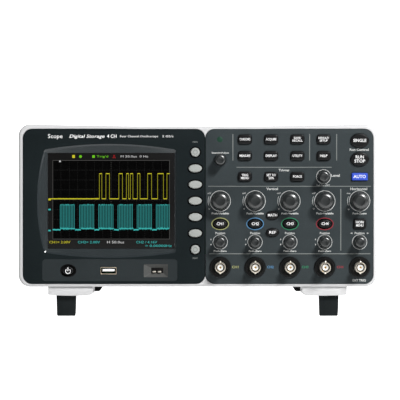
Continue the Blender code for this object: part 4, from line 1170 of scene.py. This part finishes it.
piece("socket_pins", shapes["pins"], "gold", "socket_metal")

usb_front = strip_front + 0.2
usb_end = usb_front - 9.0
shell_edge = [centred(usb_column, strip_row, 14.4, 6.5, 0.5), centred(usb_column, strip_row, 13.4, 5.3, 0.5)]
piece("usb_shell", flat(shell_edge, usb_end, usb_front, 0.12), "port_metal", "socket_metal")
# A black liner inside the shell and a black back: painted shade inside the port.
liner_edge = centred(usb_column, strip_row, 13.38, 5.28, 0.45)
bm = add(slab(usb_column, strip_row, 13.5, 5.4, usb_end, usb_end + 1),
         skin([(liner_edge, usb_front - 0.5), (liner_edge, usb_front - 8.5)]))
piece("usb_bore", bm, "pit_shade_and_black_print", "socket_metal")
bm = slab(usb_column, strip_row + 0.45, 10.8, 2.1, usb_end, usb_front - 0.3, 0.2)
piece("usb_tongue", bm, "legend_white", "board")
bm = skin([(probe_hole, strip_front), (centred(probe_column, strip_row, 21.6, 11.5, 0.7), strip_front - 0.2),
           (centred(probe_column + 1.2, strip_row + 0.2, 10.5, 4.6, 0.5), fascia_back - 0.1)], False, True)
piece("probe_scoop", facing_out(bm), "scoop_grey", "fascia_screen", (), 20)
bm = joined(slab(x, strip_row - 0.95, 3.0, 1.1, fascia_back - 1.5, fascia_front - 0.5, 0.25)
            for x in (probe_column - 1.4, probe_column + 3.4))
piece("probe_tabs", bm, "nickel", "socket_metal")
# A black patch on the scoop's floor: painted shade at the bottom of the scoop.
bm = slab(probe_column + 1.2, strip_row, 11.0, 5.0, fascia_back - 0.25, fascia_back + 0.15, 0.15)
piece("probe_pit", bm, "pit_shade_and_black_print", "fascia_screen")

# Board behind the strip, with the power switch and the back of the terminals
board_front = flange_back - 2.5
bm = joined((block(power_column - 10, probe_column + 11, strip_row - 9, strip_row + 9, board_front - 1.6,
                   board_front),
             slab(power_column, strip_row, 6, 6, board_front - 0.1, flange_back - 1.3, 0.3),
             slab(probe_column, strip_row, 21.4, 11.2, board_front - 0.1, fascia_back - 0.4)))
piece("port_board_assembly", bm, "board_green", "board", ("port_board",))

# ---------------------------------------------------------------- legs and feet

leg_half = 2.2
pivot_row = -4.2


def leg_edge(centre):
    """A leg's outline, which narrows slightly towards its foot."""
    def edge(inset):
        half = leg_width / 2 - inset
        points = outline(-half, half, -27.7 + inset, -2.0 - inset, 2.4 - inset)
        return [(centre + x * (1 - 0.076 * min(1, max(0, -(y + 2) / 25))), y) for x, y in points]
    return edge


down = panel.to_3x3().inverted() @ Vector((0, 0, -1))
floor_point = Vector((0, -26.5 * MM, leg_axis_depth * MM))
for label, centre in (("leg_left", -leg_centre), ("leg_right", leg_centre)):
    rings = rounded(leg_edge(centre), leg_axis_depth - leg_half, leg_axis_depth + leg_half, 0.7, 4, True)
    bm = skin(rings, True, True)
    cut = bmesh.ops.bisect_plane(bm, geom=bm.verts[:] + bm.edges[:] + bm.faces[:], plane_co=floor_point,
                                 plane_no=down, clear_outer=True)
    bmesh.ops.holes_fill(bm, edges=[e for e in cut["geom_cut"] if isinstance(e, bmesh.types.BMEdge)], sides=0)
    bmesh.ops.recalc_face_normals(bm, faces=bm.faces)
    add(bm, spun([(0, -10.4), (0.9, -10.4), (1.2, -10.1), (1.2, 10.1), (0.9, 10.4), (0, 10.4)], 24),
        at(centre, pivot_row, leg_axis_depth) @ Matrix.Rotation(math.radians(90), 4, "Y"))
    piece(label + "_moulding", bm, "leg_black", "leg_black", (label,), 40, label)

# ---------------------------------------------------------------- carried-over nodes

carried = (("zinc", ("lcd_module", "chassis")), ("board_green", ("key_board", "main_board")),
           ("board_brown", ("power_supply",)), ("key_black", ("fan_frame", "fan_rotor", "mains_inlet")),
           ("foot_black", ("rear_foot_left", "rear_foot_right")))
for finish, nodes in carried:
    for node in nodes:
        for slot in bpy.data.objects[node].material_slots:
            slot.material = finishes[finish]

bm = joined(slab(inlet_column + x, inlet_row + y, 2.3, 4.3, -case_depth + 3.5, -case_depth + 12, 0.3)
            for x, y in ((-7, -1.5), (0, 2.5), (7, -1.5)))
piece("inlet_pins", bm, "nickel", "inlet_black")

# ---------------------------------------------------------------- studio

floor_material = bpy.data.materials.new("studio_floor")
floor_material.use_nodes = True
tree = floor_material.node_tree
shader = tree.nodes["Principled BSDF"]
path = tree.nodes.new("ShaderNodeLightPath")
glow = math_node(tree, "MULTIPLY", path.outputs["Is Camera Ray"], 0.95)
tree.links.new(math_node(tree, "ADD", glow, 0.25), shader.inputs["Emission Strength"])
shader.inputs["Emission Color"].default_value = (1, 1, 1, 1)
shader.inputs["Base Color"].default_value = (0.85, 0.85, 0.85, 1)
shader.inputs["Roughness"].default_value = 1.0
shader.inputs["Specular IOR Level"].default_value = 0.0
bm = bmesh.new()
bmesh.ops.create_circle(bm, cap_ends=True, segments=64, radius=12)
mesh = bpy.data.meshes.new("studio_floor")
bm.to_mesh(mesh)
bm.free()
mesh.materials.append(floor_material)
floor = bpy.data.objects.new("studio_floor", mesh)
bpy.context.scene.collection.objects.link(floor)
floor.location = (0, 0, cad_low[2] - 0.0002)

# The world glows evenly, and fades to dark straight in front of the panel.
world = bpy.data.worlds.new("studio")
bpy.context.scene.world = world
world.use_nodes = True
nodes = world.node_tree.nodes
place = nodes.new("ShaderNodeTexCoord")
facing = nodes.new("ShaderNodeVectorMath")
facing.operation = "DOT_PRODUCT"
facing.inputs[1].default_value = out_way
spread = nodes.new("ShaderNodeMapRange")
spread.interpolation_type = "SMOOTHSTEP"
for label, value in (("From Min", 0.0), ("From Max", 0.92), ("To Min", 0.25), ("To Max", 0.0)):
    spread.inputs[label].default_value = value
world.node_tree.links.new(place.outputs["Generated"], facing.inputs[0])
world.node_tree.links.new(facing.outputs["Value"], spread.inputs["Value"])
world.node_tree.links.new(spread.outputs["Result"], nodes["Background"].inputs["Strength"])
nodes["Background"].inputs["Color"].default_value = (1, 1, 1, 1)

target = panel @ Vector((2.3 * MM, 79 * MM, 0))


def lamp_at(name, toward, distance, size, power):
    """A square lamp, in metres and watts, that faces the panel's middle from a direction on the panel."""
    light = bpy.data.lights.new(name, "AREA")
    light.size = size
    light.energy = power
    item = bpy.data.objects.new(name, light)
    bpy.context.scene.collection.objects.link(item)
    way = (panel.to_3x3() @ Vector(toward)).normalized()
    item.matrix_world = (Matrix.Translation(target + way * distance)
                         @ way.to_track_quat("Z", "Y").to_matrix().to_4x4())


lamp_at("key_light", (0.46, 0.62, 0.636), 2.6, 0.55, 90)
lamp_at("top_light", (0.3, 1.0, -0.6), 1.4, 1.2, 1.5)
lamp_at("rear_light", (0.5, 0.35, -0.8), 2.2, 1.6, 26)

distance = 1.8
view_width = 0.364
camera = bpy.data.cameras.new("camera")
camera.sensor_width = 36
camera.lens = camera.sensor_width * distance / view_width
camera.clip_end = 50
viewer = bpy.data.objects.new("camera", camera)
bpy.context.scene.collection.objects.link(viewer)
viewer.matrix_world = Matrix.Translation(out_way * distance + target) @ panel.to_3x3().to_4x4()
bpy.context.scene.camera = viewer
bpy.context.scene.view_settings.view_transform = "Standard"
